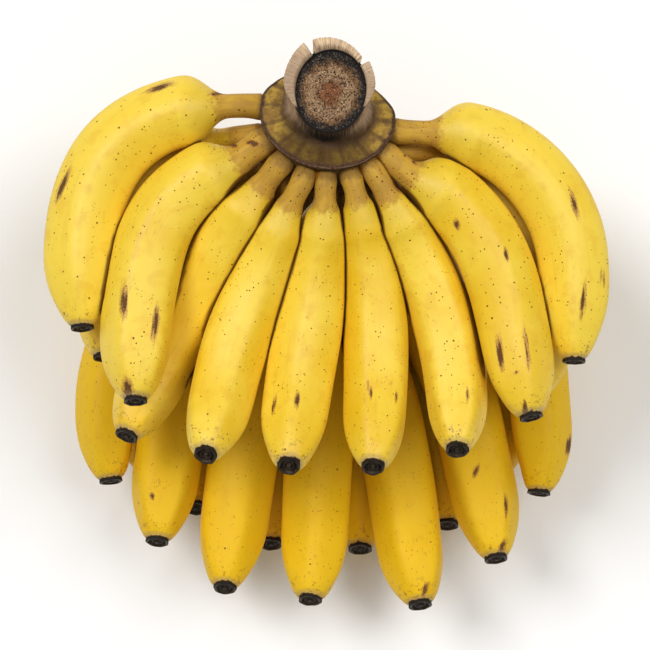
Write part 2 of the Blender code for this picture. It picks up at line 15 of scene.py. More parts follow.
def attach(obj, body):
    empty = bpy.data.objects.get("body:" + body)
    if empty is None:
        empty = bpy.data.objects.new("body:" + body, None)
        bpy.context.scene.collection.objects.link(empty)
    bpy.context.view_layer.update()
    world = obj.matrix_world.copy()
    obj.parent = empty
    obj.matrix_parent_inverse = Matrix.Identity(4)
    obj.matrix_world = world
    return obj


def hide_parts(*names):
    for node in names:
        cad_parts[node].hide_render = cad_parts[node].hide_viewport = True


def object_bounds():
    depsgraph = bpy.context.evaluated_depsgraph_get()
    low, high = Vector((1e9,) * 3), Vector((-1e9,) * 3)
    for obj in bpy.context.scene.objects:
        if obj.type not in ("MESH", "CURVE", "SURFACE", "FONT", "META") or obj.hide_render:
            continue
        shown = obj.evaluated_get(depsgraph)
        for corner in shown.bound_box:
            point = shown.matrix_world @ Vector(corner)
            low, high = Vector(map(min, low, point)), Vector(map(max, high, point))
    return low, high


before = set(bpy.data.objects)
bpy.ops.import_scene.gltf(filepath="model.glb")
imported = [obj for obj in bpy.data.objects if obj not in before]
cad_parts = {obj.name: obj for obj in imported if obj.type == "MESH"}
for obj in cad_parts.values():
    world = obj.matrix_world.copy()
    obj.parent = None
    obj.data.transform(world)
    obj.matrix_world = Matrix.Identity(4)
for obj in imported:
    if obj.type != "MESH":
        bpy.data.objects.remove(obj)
cad_low, cad_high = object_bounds()

METRES = 0.001

# The plan positions and thicknesses below are as they look from straight above,
# from this height, so whatever lies deeper is spread out to match.
VIEW_HEIGHT = 1300.0
HALF_VIEW = 162.5
FLOOR = -130.0
FLOOR_REACH = 6000.0
CENTRE_X = 0.8
CENTRE_Y = -4.5

# Stalk, measured along its axis from the scar ring of the front hand.
SCAR_CENTRE = (1.5, 106.0, 0.0)
SCAR_TILT = 30.0
UPPER_TILT = 20.0
UPPER_BEND = 12.0
LOWER_TILT = 41.0
SCAR_LEAN = 8.0
LOWER_SCAR_Y = 46.0
LOWER_SCAR_Z = -78.0
LOWER_SCAR_AXIAL = -math.hypot(SCAR_CENTRE[1] - LOWER_SCAR_Y, LOWER_SCAR_Z)
FURTHEST_SHARE = 1.6
SIDE_BOW = 1.5
REAR_BOW = 2.5
CORE_RADIUS = 17.4
CORE_OVAL = 0.08
RIND = 0.8
RIND_HEIGHT = 0.8
CUT_HEIGHT = 26.6
WALL_BASE = 9.0
SIDE_FULLNESS = 3.0
SIDE_HEIGHT = 6.0
SIDE_SPREAD = 5.0
REAR_FROM = 0.1
REAR_SPAN = 0.8
FLAT_ANGLE = 36.0
FLAT_WIDTH = 24.0
FLAT_DEPTH = 1.8
FRONT_BELOW = 8.5
SECOND_BELOW = 21.0
CUSHION_RIBS = 16

# Fruit.
ROOT_FLARE = 1.6
ROOT_DEPTH = 7.0
ROOT_SHRINK = 0.85
ROOT_STAND = 1.0
ROOT_SEARCH = 3.0
ROOT_MISSED = 0.4
FLARE_FADE = 4.0
SHOULDER_LEAD = 5.0
FAST_SHOULDER = 20.0
SLOW_SHOULDER = 78.0
TAPER = 43.0
TAPER_POWER = 3.0
SLIM_TAPER = 41.0
SLIM_POWER = 2.3
SLIM_TIPS = (
    "banana_front_1", "banana_front_9", "banana_lower_2",
    "banana_lower_3", "banana_lower_6", "banana_lower_7",
)
TIP_REACH = 1.4
TIP_HALF = 6.1
TIP_LENGTH = 1.8
RIDGES = 5
RIDGE_START = 30.0
RIDGE_TURN = 19.0
ROUND_END = 14.0
SAMPLES = 64

# How far past its root the first ring of a fruit is.
FIRST_RING = 3.5

# How fruits are pressed flat against what they touch.
REACH_BETWEEN = 3.0
REACH_OF_STALK = 24.0
LEAST_SHARE = 0.25
PRESS_STEPS = 8
CONTACT = 0.05
ROOT_BITE = 0.4
ROOT_SHEETS = 4
SHEET_STEP = 1.2
LOWER_HAND_Z = -50.0
# How far from a neighbouring fruit the painted shade between fruits reaches, in the front row of each
# hand and in the rows behind.
FRONT_GAP_SHADE = 0.7
BACK_GAP_SHADE = 5.0
BEHIND_NECK = 12.0
SEED_STEP = 0.381966
STALK_FINE = 320
# Points round a fruit, and how far apart its rings are.
FRONT_MESH = (60, 1.7)
BACK_MESH = (45, 2.4)
RIDGE_TABLE = 720
RIDGE_SOFTNESS = 6.0
BODY_RIDGES = 0.48
TIP_RIDGES = 0.28

# Each fruit: angle of its root round the scar ring in degrees, thickness, half width of
# its neck, how full its shoulder is, then the points its middle runs through from the
# end of the neck to the tip: right, up the page, towards the viewer.
FRONT_ROW = (
    (172, 40, 6, 0.86, ((-54, 109, -4), (-74.6, 105.8, -9), (-103.9, 88.4, -12),
     (-120, 52.5, -11), (-122, 32, -8), (-121.5, -1, 0))),
    (208, 39, 7.2, 0.88, ((-44, 82, 0), (-61.4, 72.2, -3), (-77.4, 58.2, -3),
     (-89.8, 27.5, 0), (-94.2, -7.5, 7), (-94.8, -37.5, 18))),
    (234, 35.5, 6, 0.85, ((-31.5, 69, 3), (-52.2, 40.3, -11), (-69.3, 4.6, -24),
     (-82.4, -20.4, -29), (-91, -37.5, -27), (-99, -55, -18))),
    (258, 35.5, 5.6, 0.62, ((-17.5, 60, 6), (-25, 42.5, -2), (-36.2, 14.4, -9),
     (-45.2, -9.6, -7), (-53.2, -40, 4), (-59.5, -64.5, 26))),
    (275, 36.5, 5.1, 0.55, ((0, 60, 8), (-1.5, 45, 0), (-5.5, 15, -9),
     (-10.5, -15, -8), (-15, -45, 3), (-18, -70, 25))),
    (297, 34.5, 5.1, 0.55, ((16, 62.5, 8), (19.5, 47.5, 0), (24.5, 17.5, -9),
     (26, -12.5, -8), (25.5, -42.5, 3), (24, -70.5, 25))),
    (316, 33.5, 5.7, 0.78, ((31.5, 64, 5), (38.5, 50, -3), (53, 20, -10),
     (62, -10, -8), (66, -40, 2), (66, -62, 18))),
    (334, 38.5, 6.6, 0.88, ((43.5, 74.5, 1), (56, 67.5, -4), (78, 45, -5),
     (90, 15, -3), (96, -15, 3), (103, -45.5, 13))),
    (360, 38, 6, 0.83, ((56, 96, -4), (75, 94, -9), (105, 75, -12),
     (122.5, 42.5, -11), (124.6, 10, -9), (124.6, -17.5, -4))),
)
BEHIND_ROW = (
    (185, 32, 5.4, 0.75, ((-55, 92, -27), (-74, 84, -38), (-92, 65, -43),
     (-104.5, 37.5, -43), (-110.5, 7.5, -40), (-110, -15.5, -32))),
    (222, 32, 5.4, 0.7, ((-40, 70, -22), (-55, 50, -40), (-67.5, 27.5, -54),
     (-76.5, 7.5, -59), (-82.5, -10, -57), (-87.5, -25, -48))),
    (248, 32, 5.8, 0.6, ((-24, 60, -20), (-31, 45, -32), (-39, 14, -43),
     (-47.5, -7.5, -42), (-53.5, -27.5, -34), (-57.5, -47.5, -14))),
    (276, 32, 5.4, 0.6, ((-1.5, 57.5, -18), (-2.5, 42.5, -31), (-6.5, 15, -43),
     (-11, -10, -42), (-14.5, -32.5, -34), (-17, -52.5, -14))),
    (302, 32, 5.4, 0.6, ((21.5, 60, -19), (27, 44, -32), (27, 15.5, -43),
     (26.5, -10, -42), (26, -32.5, -34), (25, -52.5, -14))),
    (322, 32, 5.8, 0.6, ((37, 63.5, -20), (47, 48, -33), (56, 17.5, -43),
     (63.5, -7.5, -42), (66.5, -27.5, -36), (67, -46.5, -20))),
    (353, 34, 5.4, 0.75, ((62, 84.5, -27), (78, 73, -37), (93, 54, -40),
     (104, 30, -41), (109, 0, -38), (104.5, -35, -30))),
)
LOWER_ROW = (
    (185, 32, 5.8, 0.7, ((-62, 50, -82), (-90, 30, -84), (-102.5, -5, -84),
     (-108.3, -27.5, -82), (-109, -57.5, -79), (-107, -77.5, -74))),
    (212, 36.5, 5.8, 0.65, ((-45, 20, -76), (-62, -8, -82), (-72.5, -32, -84),
     (-77.3, -57.5, -80), (-81.2, -87.5, -70), (-83.8, -107.8, -60))),
    (240, 37.2, 5.8, 0.6, ((-20, 10, -70), (-30, -15, -79), (-37.5, -45, -83),
     (-43, -77.5, -81), (-47.3, -107.5, -72), (-50, -131, -58))),
    (268, 36, 5.8, 0.6, ((0, 6, -69), (-1, -20, -79), (-2, -48, -83),
     (-3.8, -77.5, -82), (-5.3, -107.5, -74), (-7.5, -137, -58))),
    (297, 36.5, 5.8, 0.6, ((14, 8, -70), (25, -18, -79), (32, -45, -83),
     (37.5, -75, -82), (42.8, -110, -73), (47.5, -139.5, -58))),
    (325, 36.5, 5.8, 0.65, ((40, 18, -76), (56, -10, -82), (68, -35, -84),
     (74.7, -62.5, -80), (81.2, -92.5, -71), (85.5, -116.5, -60))),
    (352, 33, 5.8, 0.7, ((60, 46, -82), (88, 26, -84), (102.5, -5, -84),
     (106.5, -37.5, -82), (108.3, -67.5, -78), (107, -83.5, -74))),
)
BACK_ROW = (
    (195, 33, 5.6, 0.7, ((-42, 26, -98), (-68, 12, -112), (-85, -12, -113),
     (-91, -38, -112), (-90, -58, -108), (-86, -72, -100))),
    (222, 33, 5.6, 0.65, ((-28, 11, -93), (-42, -8, -109), (-53, -34, -113),
     (-59, -58, -112), (-63, -78, -107), (-64.5, -91, -98))),
    (252, 33, 5.6, 0.65, ((-10, -2, -87), (-18, -22, -105), (-22, -47, -113),
     (-25, -70, -112), (-26.5, -92, -108), (-27, -109, -98))),
    (284, 33, 5.6, 0.65, ((9, -2, -87), (14, -22, -105), (16, -47, -113),
     (17, -70, -112), (17.5, -92, -108), (17.5, -111.5, -98))),
    (313, 33, 5.6, 0.65, ((29, 11, -93), (43, -8, -109), (52, -34, -113),
     (57, -60, -112), (60, -82, -107), (61, -99.5, -98))),
    (340, 33, 5.6, 0.7, ((42, 28, -98), (68, 12, -112), (84, -12, -113),
     (89, -38, -112), (88, -58, -108), (84, -74, -100))),
)
# Each row: its word in the names, its fruits, where on the stalk they grow, and whether
# it is the front row of its hand.
ROWS = (
    ("front", FRONT_ROW, -FRONT_BELOW, True),
    ("behind", BEHIND_ROW, -SECOND_BELOW, False),
    ("lower", LOWER_ROW, LOWER_SCAR_AXIAL - FRONT_BELOW, True),
    ("back", BACK_ROW, LOWER_SCAR_AXIAL - SECOND_BELOW, False),
)


def smooth(u):
    """Ease from 0 to 1 while u goes from 0 to 1."""
    u = np.clip(u, 0.0, 1.0)
    return u * u * (3.0 - 2.0 * u)


def curve_through(points, count):
    """Evenly spaced points on a smooth curve, and how far along each given point is."""
    points = np.array(points, float)
    steps = np.linalg.norm(np.diff(points, axis=0), axis=1)
    knots = np.concatenate(([0.0], np.cumsum(steps)))
    size = len(points)
    system = np.zeros((size, size))
    right = np.zeros((size, 3))
    system[0, 0] = 1.0
    system[-1, -1] = 1.0
    slopes = np.diff(points, axis=0) / steps[:, None]
    for k in range(1, size - 1):
        before, after = steps[k - 1:k + 1]
        system[k, k - 1:k + 2] = before, 2.0 * (before + after), after
        right[k] = 6.0 * (slopes[k] - slopes[k - 1])
    bend = np.linalg.solve(system, right)
    wanted = np.linspace(0.0, knots[-1], 6 * count)
    cell = np.clip(np.searchsorted(knots, wanted, side="right") - 1, 0, size - 2)
    width = steps[cell][:, None]
    ahead = (knots[cell + 1] - wanted)[:, None]
    past = (wanted - knots[cell])[:, None]
    fine = (bend[cell] * ahead ** 3 + bend[cell + 1] * past ** 3) / (6.0 * width)
    fine += (points[cell] / width - bend[cell] * width / 6.0) * ahead
    fine += (points[cell + 1] / width - bend[cell + 1] * width / 6.0) * past
    run = np.concatenate(([0.0], np.cumsum(np.linalg.norm(np.diff(fine, axis=0), axis=1))))
    along = np.linspace(0.0, run[-1], count)
    even = np.stack([np.interp(along, run, fine[:, k]) for k in range(3)], axis=1)
    reached = np.interp(knots, wanted, run)
    return even, along, reached


def stalk_frame(axial):
    """Centre, axis, rightward and rearward directions of the stalk at a height on its axis."""
    share = min(max(axial / LOWER_SCAR_AXIAL, 0.0), FURTHEST_SHARE)
    eased = min(share, 1.0)
    rise = max(axial, 0.0)
    bent = float(smooth(rise / UPPER_BEND))
    tilt = SCAR_TILT + (LOWER_TILT - SCAR_TILT) * eased + (UPPER_TILT - SCAR_TILT) * bent
    tilt = math.radians(tilt)
    lean = math.radians(SCAR_LEAN * (1.0 - eased))
    bow = 4.0 * share * (1.0 - share)
    x = SCAR_CENTRE[0] - SIDE_BOW * bow
    y = SCAR_CENTRE[1] + (LOWER_SCAR_Y - SCAR_CENTRE[1]) * share + REAR_BOW * bow
    centre = np.array([x, y, LOWER_SCAR_Z * share])
    plan = np.array([math.sin(lean), math.cos(lean), 0.0])
    up = np.array([0.0, 0.0, 1.0])
    axis = plan * math.sin(tilt) + up * math.cos(tilt)
    rear = plan * math.cos(tilt) - up * math.sin(tilt)
    right = np.cross(rear, axis)
    upper = math.radians(UPPER_TILT)
    climb = plan * math.sin(upper) + up * math.cos(upper)
    return centre + climb * rise, axis, right, rear


# Down the stalk: distance from the scar ring, radius in front, radius at the rear, ribs.
STALK_PROFILE = (
    (WALL_BASE, 19.4, 20.4, 0), (6, 20, 21.4, 0.5), (4, 21.4, 22.8, 1.1),
    (2.8, 24, 24.2, 1.6), (2.1, 27.2, 25.6, 1.7), (1.5, 30.6, 27, 1),
    (0.8, 33.4, 28.2, 0.3), (-0.6, 33.8, 28.4, 0), (-2, 33.2, 28, 0),
    (-2.8, 31.4, 26.6, 0), (-9, 31, 25.6, 0), (-18, 30.4, 24.6, 0),
    (-28, 29, 23.4, 0), (-33, 25.6, 22, 0), (-40, 20.5, 19.5, 0),
    (-52, 18, 18, 0.3), (-68, 17.4, 17.4, 0.3),
)
# The same for the cushion of the second hand, from its own scar ring.
LOWER_CUSHION = (
    (12, 18.4, 17.8, 0.2), (6, 22, 19.6, 0), (1.5, 27.4, 22.6, 0),
    (0, 28.2, 23, 0), (-1.8, 27.4, 22.6, 0), (-2.6, 26, 21.6, 0),
    (-10, 25.4, 21, 0), (-19, 24.8, 20, 0), (-27, 23.4, 18.6, 0),
)
STALK_PROFILE += tuple((LOWER_SCAR_AXIAL + row[0], *row[1:]) for row in LOWER_CUSHION)
HEIGHTS, FRONT_RADII, REAR_RADII, RIBS = np.array(STALK_PROFILE[::-1]).T
# The torn rind round the cut: its two end angles, its thickness and height at each end,
# and over how many degrees it fades in and out.
FLAPS = (
    (222.0, 127.0, 5.2, 7.0, 2.0, 4.2, 46.0, 3.5),
    (123.5, 49.0, 5.2, 2.8, 5.6, 1.6, 3.5, 3.5),
    (46.0, -28.0, 4.8, 4.2, 2.0, 1.0, 3.5, 46.0),
)
FLAP_LEAN = 0.2
# Over the flaps from the cut face outwards: share of their height, share of their thickness.
RIM = (
    (0.0, -0.02), (0.25, 0.0), (0.5, 0.02), (0.75, 0.05), (0.9, 0.1), (0.98, 0.22),
    (1.0, 0.4), (0.99, 0.62), (0.95, 0.82), (0.85, 0.94), (0.6, 1.0), (0.3, 1.0),
)
FOOT_CENTRE = (1.5, 17.0)
FOOT_RADIUS = 14.0


def ribs_at(axial):
    """Depth of the grooves between the pads of the collar at heights on the stalk."""
    return np.interp(axial, HEIGHTS, RIBS)


def stalk_radius(axial, angle):
    """Radius of the stalk at heights and angles, 90 degrees being the rear."""
    front = np.interp(axial, HEIGHTS, FRONT_RADII)
    rear = np.interp(axial, HEIGHTS, REAR_RADII)
    ribs = ribs_at(axial)
    turn = np.radians(angle)
    rearward = smooth((np.sin(turn) - REAR_FROM) / REAR_SPAN)
    rib = 0.5 + 0.5 * np.cos(CUSHION_RIBS * turn)
    sideways = SIDE_FULLNESS * np.cos(turn) ** 2 * np.exp(-((axial - SIDE_HEIGHT) / SIDE_SPREAD) ** 2)
    flat = FLAT_DEPTH * np.exp(-(((angle + 180.0) % 360.0 - 180.0 - FLAT_ANGLE) / FLAT_WIDTH) ** 2)
    radius = front + (rear - front) * rearward - ribs * rib + sideways - flat
    climb = smooth((axial - WALL_BASE) / (cut_height(angle, 1.0) - WALL_BASE))
    thick, _ = rind(angle)
    return radius + (core_edge(angle) + thick - radius) * climb


def core_edge(angle):
    """Radius of the cut face, a little longer to front and rear than it is wide."""
    return CORE_RADIUS * (1.0 + CORE_OVAL * np.sin(np.radians(angle)) ** 2)


def cut_height(angle, share):
    """Height of the slanted cut at a share of the way from its middle to its edge."""
    rearward = share * core_edge(angle) * np.sin(np.radians(angle))
    return CUT_HEIGHT + rearward * math.tan(math.radians(UPPER_TILT))


def rind(angle):
    """Thickness of the torn rind at angles, and how far it stands past the cut face."""
    angle = np.asarray(angle, float)
    thick = np.full(angle.shape, RIND)
    tall = np.full(angle.shape, RIND_HEIGHT)
    for first, last, thick_first, thick_last, tall_first, tall_last, fade_in, fade_out in FLAPS:
        past = (first - angle) % 360.0
        share = past / (first - last)
        strength = smooth(past / fade_in) * smooth((first - last - past) / fade_out)
        strength = np.where(share > 1.0, 0.0, strength)
        thick = thick + (thick_first + (thick_last - thick_first) * share - RIND) * strength
        tall = tall + (tall_first + (tall_last - tall_first) * share) * strength
    return thick, tall


def tube_faces(rings, sides, first, last):
    """Faces of a closed tube: cap round the first point, walls, cap round the last."""
    faces = []
    base = 1 + (rings - 1) * sides
    for k in range(sides):
        n = (k + 1) % sides
        faces += [(first, 1 + k, 1 + n), (base + k, last, base + n)]
    for low in range(1, base, sides):
        high = low + sides
        for k in range(sides):
            n = (k + 1) % sides
            faces += [(low + k, high + k, high + n), (low + k, high + n, low + n)]
    return faces


def unit(vectors):
    """The same directions with a length of one."""
    return vectors / np.linalg.norm(vectors, axis=1)[:, None]


class Fruit:
    """The middle line, frame and thickness of one fruit."""

    def __init__(self, name, number, spec, axial, in_front):
        angle, thickness, self.neck, self.fullness, seen = spec
        self.name, self.number, self.in_front = name, number, in_front
        self.turn = math.radians(RIDGE_TURN * number)
        centre, _, right, rear = stalk_frame(axial)
        turn = math.radians(angle)
        outward = math.cos(turn) * right + math.sin(turn) * rear
        surface = stalk_radius(axial, angle)
        line = [centre + outward * (surface - ROOT_DEPTH), centre + outward * (surface + ROOT_STAND)]
        for x, y, z in seen:
            spread = (VIEW_HEIGHT - z) / VIEW_HEIGHT
            line.append(np.array([x * spread, y * spread, z]))
        last_leg = line[-1] - line[-2]
        line[-1] = line[-1] + TIP_REACH * last_leg / np.linalg.norm(last_leg)
        self.line, self.along, reached = curve_through(line, SAMPLES)
        self.length = self.along[-1]
        self.root_run = reached[1]
        self.neck_run = reached[2]
        self.half = 0.5 * thickness
        self.ahead = unit(np.gradient(self.line, axis=0))
        self.up = unit(np.array([0.0, 0.0, 1.0]) - self.ahead * self.ahead[:, 2:3])
        self.side = np.cross(self.ahead, self.up)
        self.spread = (VIEW_HEIGHT - self.line[:, 2]) / VIEW_HEIGHT
        self.radii = self.half_width(self.along)

    def half_width(self, run):
        """Half the thickness at a distance along the fruit."""
        quick = smooth((run - self.neck_run + SHOULDER_LEAD) / FAST_SHOULDER)
        slow = smooth((run - self.neck_run + SHOULDER_LEAD) / SLOW_SHOULDER)
        rise = self.fullness * quick + (1.0 - self.fullness) * slow
        wide = self.neck + (self.half - self.neck) * rise
        taper, power = (SLIM_TAPER, SLIM_POWER) if self.name in SLIM_TIPS else (TAPER, TAPER_POWER)
        left = (run - (self.length - taper)) / (taper - TIP_LENGTH)
        fall = 1.0 - (1.0 - TIP_HALF / self.half) * np.clip(left, 0.0, 1.0) ** power
        flare = ROOT_FLARE * np.exp(-np.clip(run - self.root_run, 0.0, None) / FLARE_FADE)
        spread = np.interp(run, self.along, self.spread)
        return (wide * fall + flare) * spread

    def frame(self, run):
        """Centre, up and side directions at distances along the fruit."""
        parts = []
        for values in (self.line, self.up, self.side):
            parts.append(np.stack([np.interp(run, self.along, values[:, k]) for k in range(3)], axis=-1))
        return parts


def depth_in(fruit, points):
    """Signed distance of points from a fruit: its middle line less its half width."""
    start = fruit.line[:-1]
    leg = fruit.line[1:] - start
    leg_squared = (leg ** 2).sum(axis=1)
    away = points[:, None, :] - start[None]
    share = np.clip((away * leg[None]).sum(axis=2) / leg_squared, 0.0, 1.0)
    gap = np.linalg.norm(away - share[:, :, None] * leg[None], axis=2)
    radius = fruit.radii[:-1] + share * (fruit.radii[1:] - fruit.radii[:-1])
    return (gap - radius).min(axis=1)


def neighbours(fruit, fruits):
    """The fruits near enough to press on this one."""
    near = []
    for other in fruits:
        between = np.linalg.norm(fruit.line[:, None, :] - other.line[None], axis=2)
        between -= fruit.radii[:, None] + other.radii[None]
        if other is not fruit and between.min() < REACH_BETWEEN:
            near.append(other)
    return near


def soft_pentagon():
    """The five-sided profile with its corners eased, by angle from one ridge."""
    step = 2.0 * math.pi / RIDGES
    angles = np.arange(RIDGE_TABLE) * 2.0 * math.pi / RIDGE_TABLE
    off = angles % step - 0.5 * step
    sharp = math.cos(0.5 * step) / np.cos(off)
    spread = np.arange(-40, 41)
    weight = np.exp(-0.5 * (spread * 360.0 / RIDGE_TABLE / RIDGE_SOFTNESS) ** 2)
    soft = sum(w * np.roll(sharp, s) for w, s in zip(weight, spread)) / weight.sum()
    return np.append(soft, soft[0])


PENTAGON = soft_pentagon()


def fine_section(fruit, angle, run):
    """The ridges of one fruit, eased, and sharper towards the tip."""
    turn = ((angle - fruit.turn) % (2.0 * math.pi)) * RIDGE_TABLE / (2.0 * math.pi)
    ridge = np.interp(turn, np.arange(RIDGE_TABLE + 1), PENTAGON)
    strength = BODY_RIDGES * smooth((run - fruit.neck_run) / RIDGE_START)
    strength = strength + TIP_RIDGES * smooth((run - fruit.length + 70.0) / 45.0)
    strength = strength * smooth((fruit.length - run - 1.0) / ROUND_END)
    return 1.0 - strength * (1.0 - ridge)


def fine_runs(fruit, spacing):
    """Distances along the fruit of its fine rings, closer at the dried tip."""
    start = fruit.root_run + FIRST_RING
    end = fruit.length - TIP_LENGTH - 2.0
    count = int((end - start) / spacing)
    body = list(np.linspace(start, end, count))
    return np.array(body + [fruit.length - back for back in TIP_STEPS])


# How far back from the end the last rings of a fruit are.
TIP_STEPS = (3.2, 2.7, 2.2, 1.7, 1.2, 0.7, 0.35)
# The dried tip inwards from its rim: how far back from the end, share of its radius.
TIP_FACE = (
    (0.4, 0.96), (0, 0.87), (0.15, 0.79), (1.3, 0.72), (2, 0.62), (1.5, 0.54), (0.7, 0.47),
    (0.8, 0.4), (2, 0.33), (1.9, 0.26), (0.5, 0.19), (0.1, 0.09),
)


def fine_fruit(fruit, near, bark, sides, spacing):
    """Points, faces and surface values of one fruit in fine detail."""
    runs = fine_runs(fruit, spacing)
    step = 2.0 * math.pi / sides
    angles = fruit.turn + np.arange(sides) * step
    run_grid = np.repeat(runs, sides)
    angle_grid = np.tile(angles, len(runs))
    centre, up, side = fruit.frame(run_grid)
    direction = np.cos(angle_grid)[:, None] * up + np.sin(angle_grid)[:, None] * side
    base = fruit.half_width(run_grid)
    wanted = base * fine_section(fruit, angle_grid, run_grid)
    back = fruit.length - run_grid
    rim = 0.1 * np.exp(-((back - 0.9) / 0.6) ** 2) - 0.4 * np.exp(-((back - 2.5) / 0.7) ** 2) - 0.4
    wobble = 0.20 * np.sin(3.0 * angle_grid + fruit.number)
    wobble = wobble + 0.14 * np.sin(7.0 * angle_grid + 2.0 * fruit.number)
    wanted = wanted + (rim + wobble) * smooth((6.0 - back) / 4.0)
    radius = pressed_fine(fruit, near, bark, centre, direction, wanted, base)
    grid = radius.reshape(len(runs), sides)
    soft = grid.copy()
    soft[1:-1] = 0.5 * grid[1:-1] + 0.25 * (grid[:-2] + grid[2:])
    soft = 0.5 * soft + 0.25 * (np.roll(soft, 1, axis=1) + np.roll(soft, -1, axis=1))
    soft[-8:] = grid[-8:]
    # How far each point is pressed in against a neighbour: the mask of painted shade where fruits touch.
    contact_shade = np.clip((wanted.reshape(grid.shape) - grid) / 1.5, 0.0, 1.0)
    rows = (centre + direction * soft.reshape(-1, 1)).reshape(len(runs), sides, 3)

    root = []
    for point in rows[0]:
        target = fruit.line[0] + ROOT_SHRINK * (point - centre[0])
        root.append(land_on_stalk(point, target, -ROOT_BITE, bark))
    root = np.array(root)
    shares = np.linspace(0.0, 1.0, ROOT_SHEETS, endpoint=False)
    sheets = [root + (rows[0] - root) * share for share in shares]
    face = []
    end_centre, end_up, end_side = fruit.frame(np.full(sides, fruit.length))
    end_direction = np.cos(angles)[:, None] * end_up + np.sin(angles)[:, None] * end_side
    end_ahead = fruit.ahead[-1]
    for deep, share in TIP_FACE:
        uneven = 1.0 + 0.03 * np.sin(5.0 * angles + 3.0 * fruit.number + 6.0 * share)
        ring = end_centre + end_direction * (soft[-1] * share * uneven)[:, None]
        face.append(ring - end_ahead * deep)
    all_rows = sheets + list(rows) + face
    ends = root.mean(axis=0), end_centre[0] - end_ahead * 0.1
    points = np.concatenate([ends[0][None]] + all_rows + [ends[1][None]])
    points[:, 2] = np.maximum(points[:, 2], FLOOR)
    tri = tube_faces(len(all_rows), sides, 0, len(points) - 1)

    sheet_runs = runs[0] - SHEET_STEP * np.arange(len(sheets), 0, -1)
    row_runs = np.concatenate([sheet_runs, runs, np.full(len(face), fruit.length)])
    run_all = np.concatenate([[sheet_runs[0]], np.repeat(row_runs, sides), [fruit.length]])
    angle_all = np.concatenate([[0.0], np.tile(angles, len(all_rows)), [0.0]])
    contact_shade_all = np.zeros(len(points))
    low = 1 + len(sheets) * sides
    contact_shade_all[low:low + contact_shade.size] = contact_shade.ravel()
    off = (angle_all - fruit.turn) % (2.0 * math.pi / RIDGES) - math.pi / RIDGES
    gap_shade_width, behind = (FRONT_GAP_SHADE, 0.0) if fruit.in_front else (BACK_GAP_SHADE, BEHIND_NECK)
    face_share = np.zeros(len(points))
    face_share[1 + (len(sheets) + len(runs)) * sides:] = 1.0
    values = {
        "from_neck": run_all - fruit.neck_run + behind,
        "from_tip": fruit.length - run_all,
        "from_root": run_all - fruit.root_run,
        "ridge": np.abs(off) / (math.pi / RIDGES),
        "contact_shade": contact_shade_all,
        "seed": np.full(len(points), (fruit.number * SEED_STEP) % 1.0),
        "lower": np.full(len(points), 1.0 if fruit.line[0][2] < LOWER_HAND_Z else 0.0),
        "gap_shade": np.exp(-np.clip(closest_gap(fruit, near, points), 0.0, None) / gap_shade_width),
        "tip_face": face_share,
    }
    wrap = around(fruit.half_width(run_all), angle_all, run_all)
    values["wrap"] = wrap + np.array([37.0 * fruit.number, 11.0 * fruit.number, 0.0])
    return points, tri, values


def closest_gap(fruit, near, points):
    """How far each point is from the nearest neighbouring fruit."""
    gaps = [depth_in(other, points) for other in near]
    return np.min(gaps + [np.full(len(points), 1e3)], axis=0)


def pressed_fine(fruit, near, bark, centre, direction, radius, base):
    """Largest radius, up to the one given, that leaves the stalk and each neighbour clear."""
    beside = np.zeros(len(centre), bool)
    last = None
    for k in range(len(centre)):
        if last is None or not np.array_equal(centre[k], last[0]):
            last = (centre[k], bark.find_nearest(Vector(centre[k]))[3] < REACH_OF_STALK)
        beside[k] = last[1]

    def crowding(rows, reach):
        points = centre[rows] + direction[rows] * reach[:, None]
        worst = np.full(len(reach), -1e9)
        for other in near:
            worst = np.maximum(worst, (reach - base[rows]) - depth_in(other, points) + CONTACT)
        for k in np.flatnonzero(beside[rows]):
            hit, normal, _, away = bark.find_nearest(Vector(points[k]))
            inside = (Vector(points[k]) - hit).dot(normal) < 0.0
            worst[k] = max(worst[k], -ROOT_BITE - (-away if inside else away))
        return worst

    everything = np.arange(len(centre))
    rows = everything[crowding(everything, radius) > 0.0]
    low = LEAST_SHARE * radius[rows]
    high = radius[rows].copy()
    for _ in range(PRESS_STEPS):
        middle = 0.5 * (low + high)
        tight = crowding(rows, middle) > 0.0
        high = np.where(tight, middle, high)
        low = np.where(tight, low, middle)
    result = radius.copy()
    result[rows] = 0.5 * (low + high)
    return result


def land_on_stalk(outer, inner, clearance, bark):
    """The point just off the stalk on the way in from an outer point."""
    way = Vector(inner - outer)
    hit, normal, _, _ = bark.ray_cast(Vector(outer), way.normalized(), way.length * ROOT_SEARCH)
    if hit is None:
        return outer + (inner - outer) * ROOT_MISSED
    return np.array(hit) - np.array(way.normalized()) * clearance


def put(name, data):
    """A new object in the scene."""
    made = bpy.data.objects.new(name, data)
    bpy.context.scene.collection.objects.link(made)
    return made


def add_piece(name, points, faces, values, materials, slots):
    """A smooth-shaded piece from millimetre points, with its surface values."""
    shift = np.array([-CENTRE_X, -CENTRE_Y, -FLOOR])
    mesh = bpy.data.meshes.new(name)
    places = np.clip((np.asarray(points) + shift) * METRES, list(cad_low), list(cad_high))
    mesh.from_pydata([tuple(place) for place in places], [], faces)
    for key, value in values.items():
        kind, field = ("FLOAT_VECTOR", "vector") if value.ndim == 2 else ("FLOAT", "value")
        layer = mesh.attributes.new(key, kind, "POINT")
        layer.data.foreach_set(field, value.astype(np.float32).ravel())
    for material in materials:
        mesh.materials.append(material)
    mesh.polygons.foreach_set("material_index", np.asarray(slots, np.int32))
    mesh.polygons.foreach_set("use_smooth", np.ones(len(mesh.polygons), bool))
    mesh.validate()
    mesh.update()
    return put(name, mesh)


def around(radius, way, height):
    """Places at a radius and an angle round an axis, at a height on it."""
    return np.stack([radius * np.cos(way), radius * np.sin(way), height], axis=1)


def slow_wave(angle, phase):
    """A slow uneven wave round the stalk, between -1 and 1."""
    turn = np.radians(angle)
    wave = np.sin(3.0 * turn + phase) + 0.7 * np.sin(7.0 * turn + 2.3 * phase)
    return (wave + 0.5 * np.sin(13.0 * turn + 4.1 * phase)) / 2.2


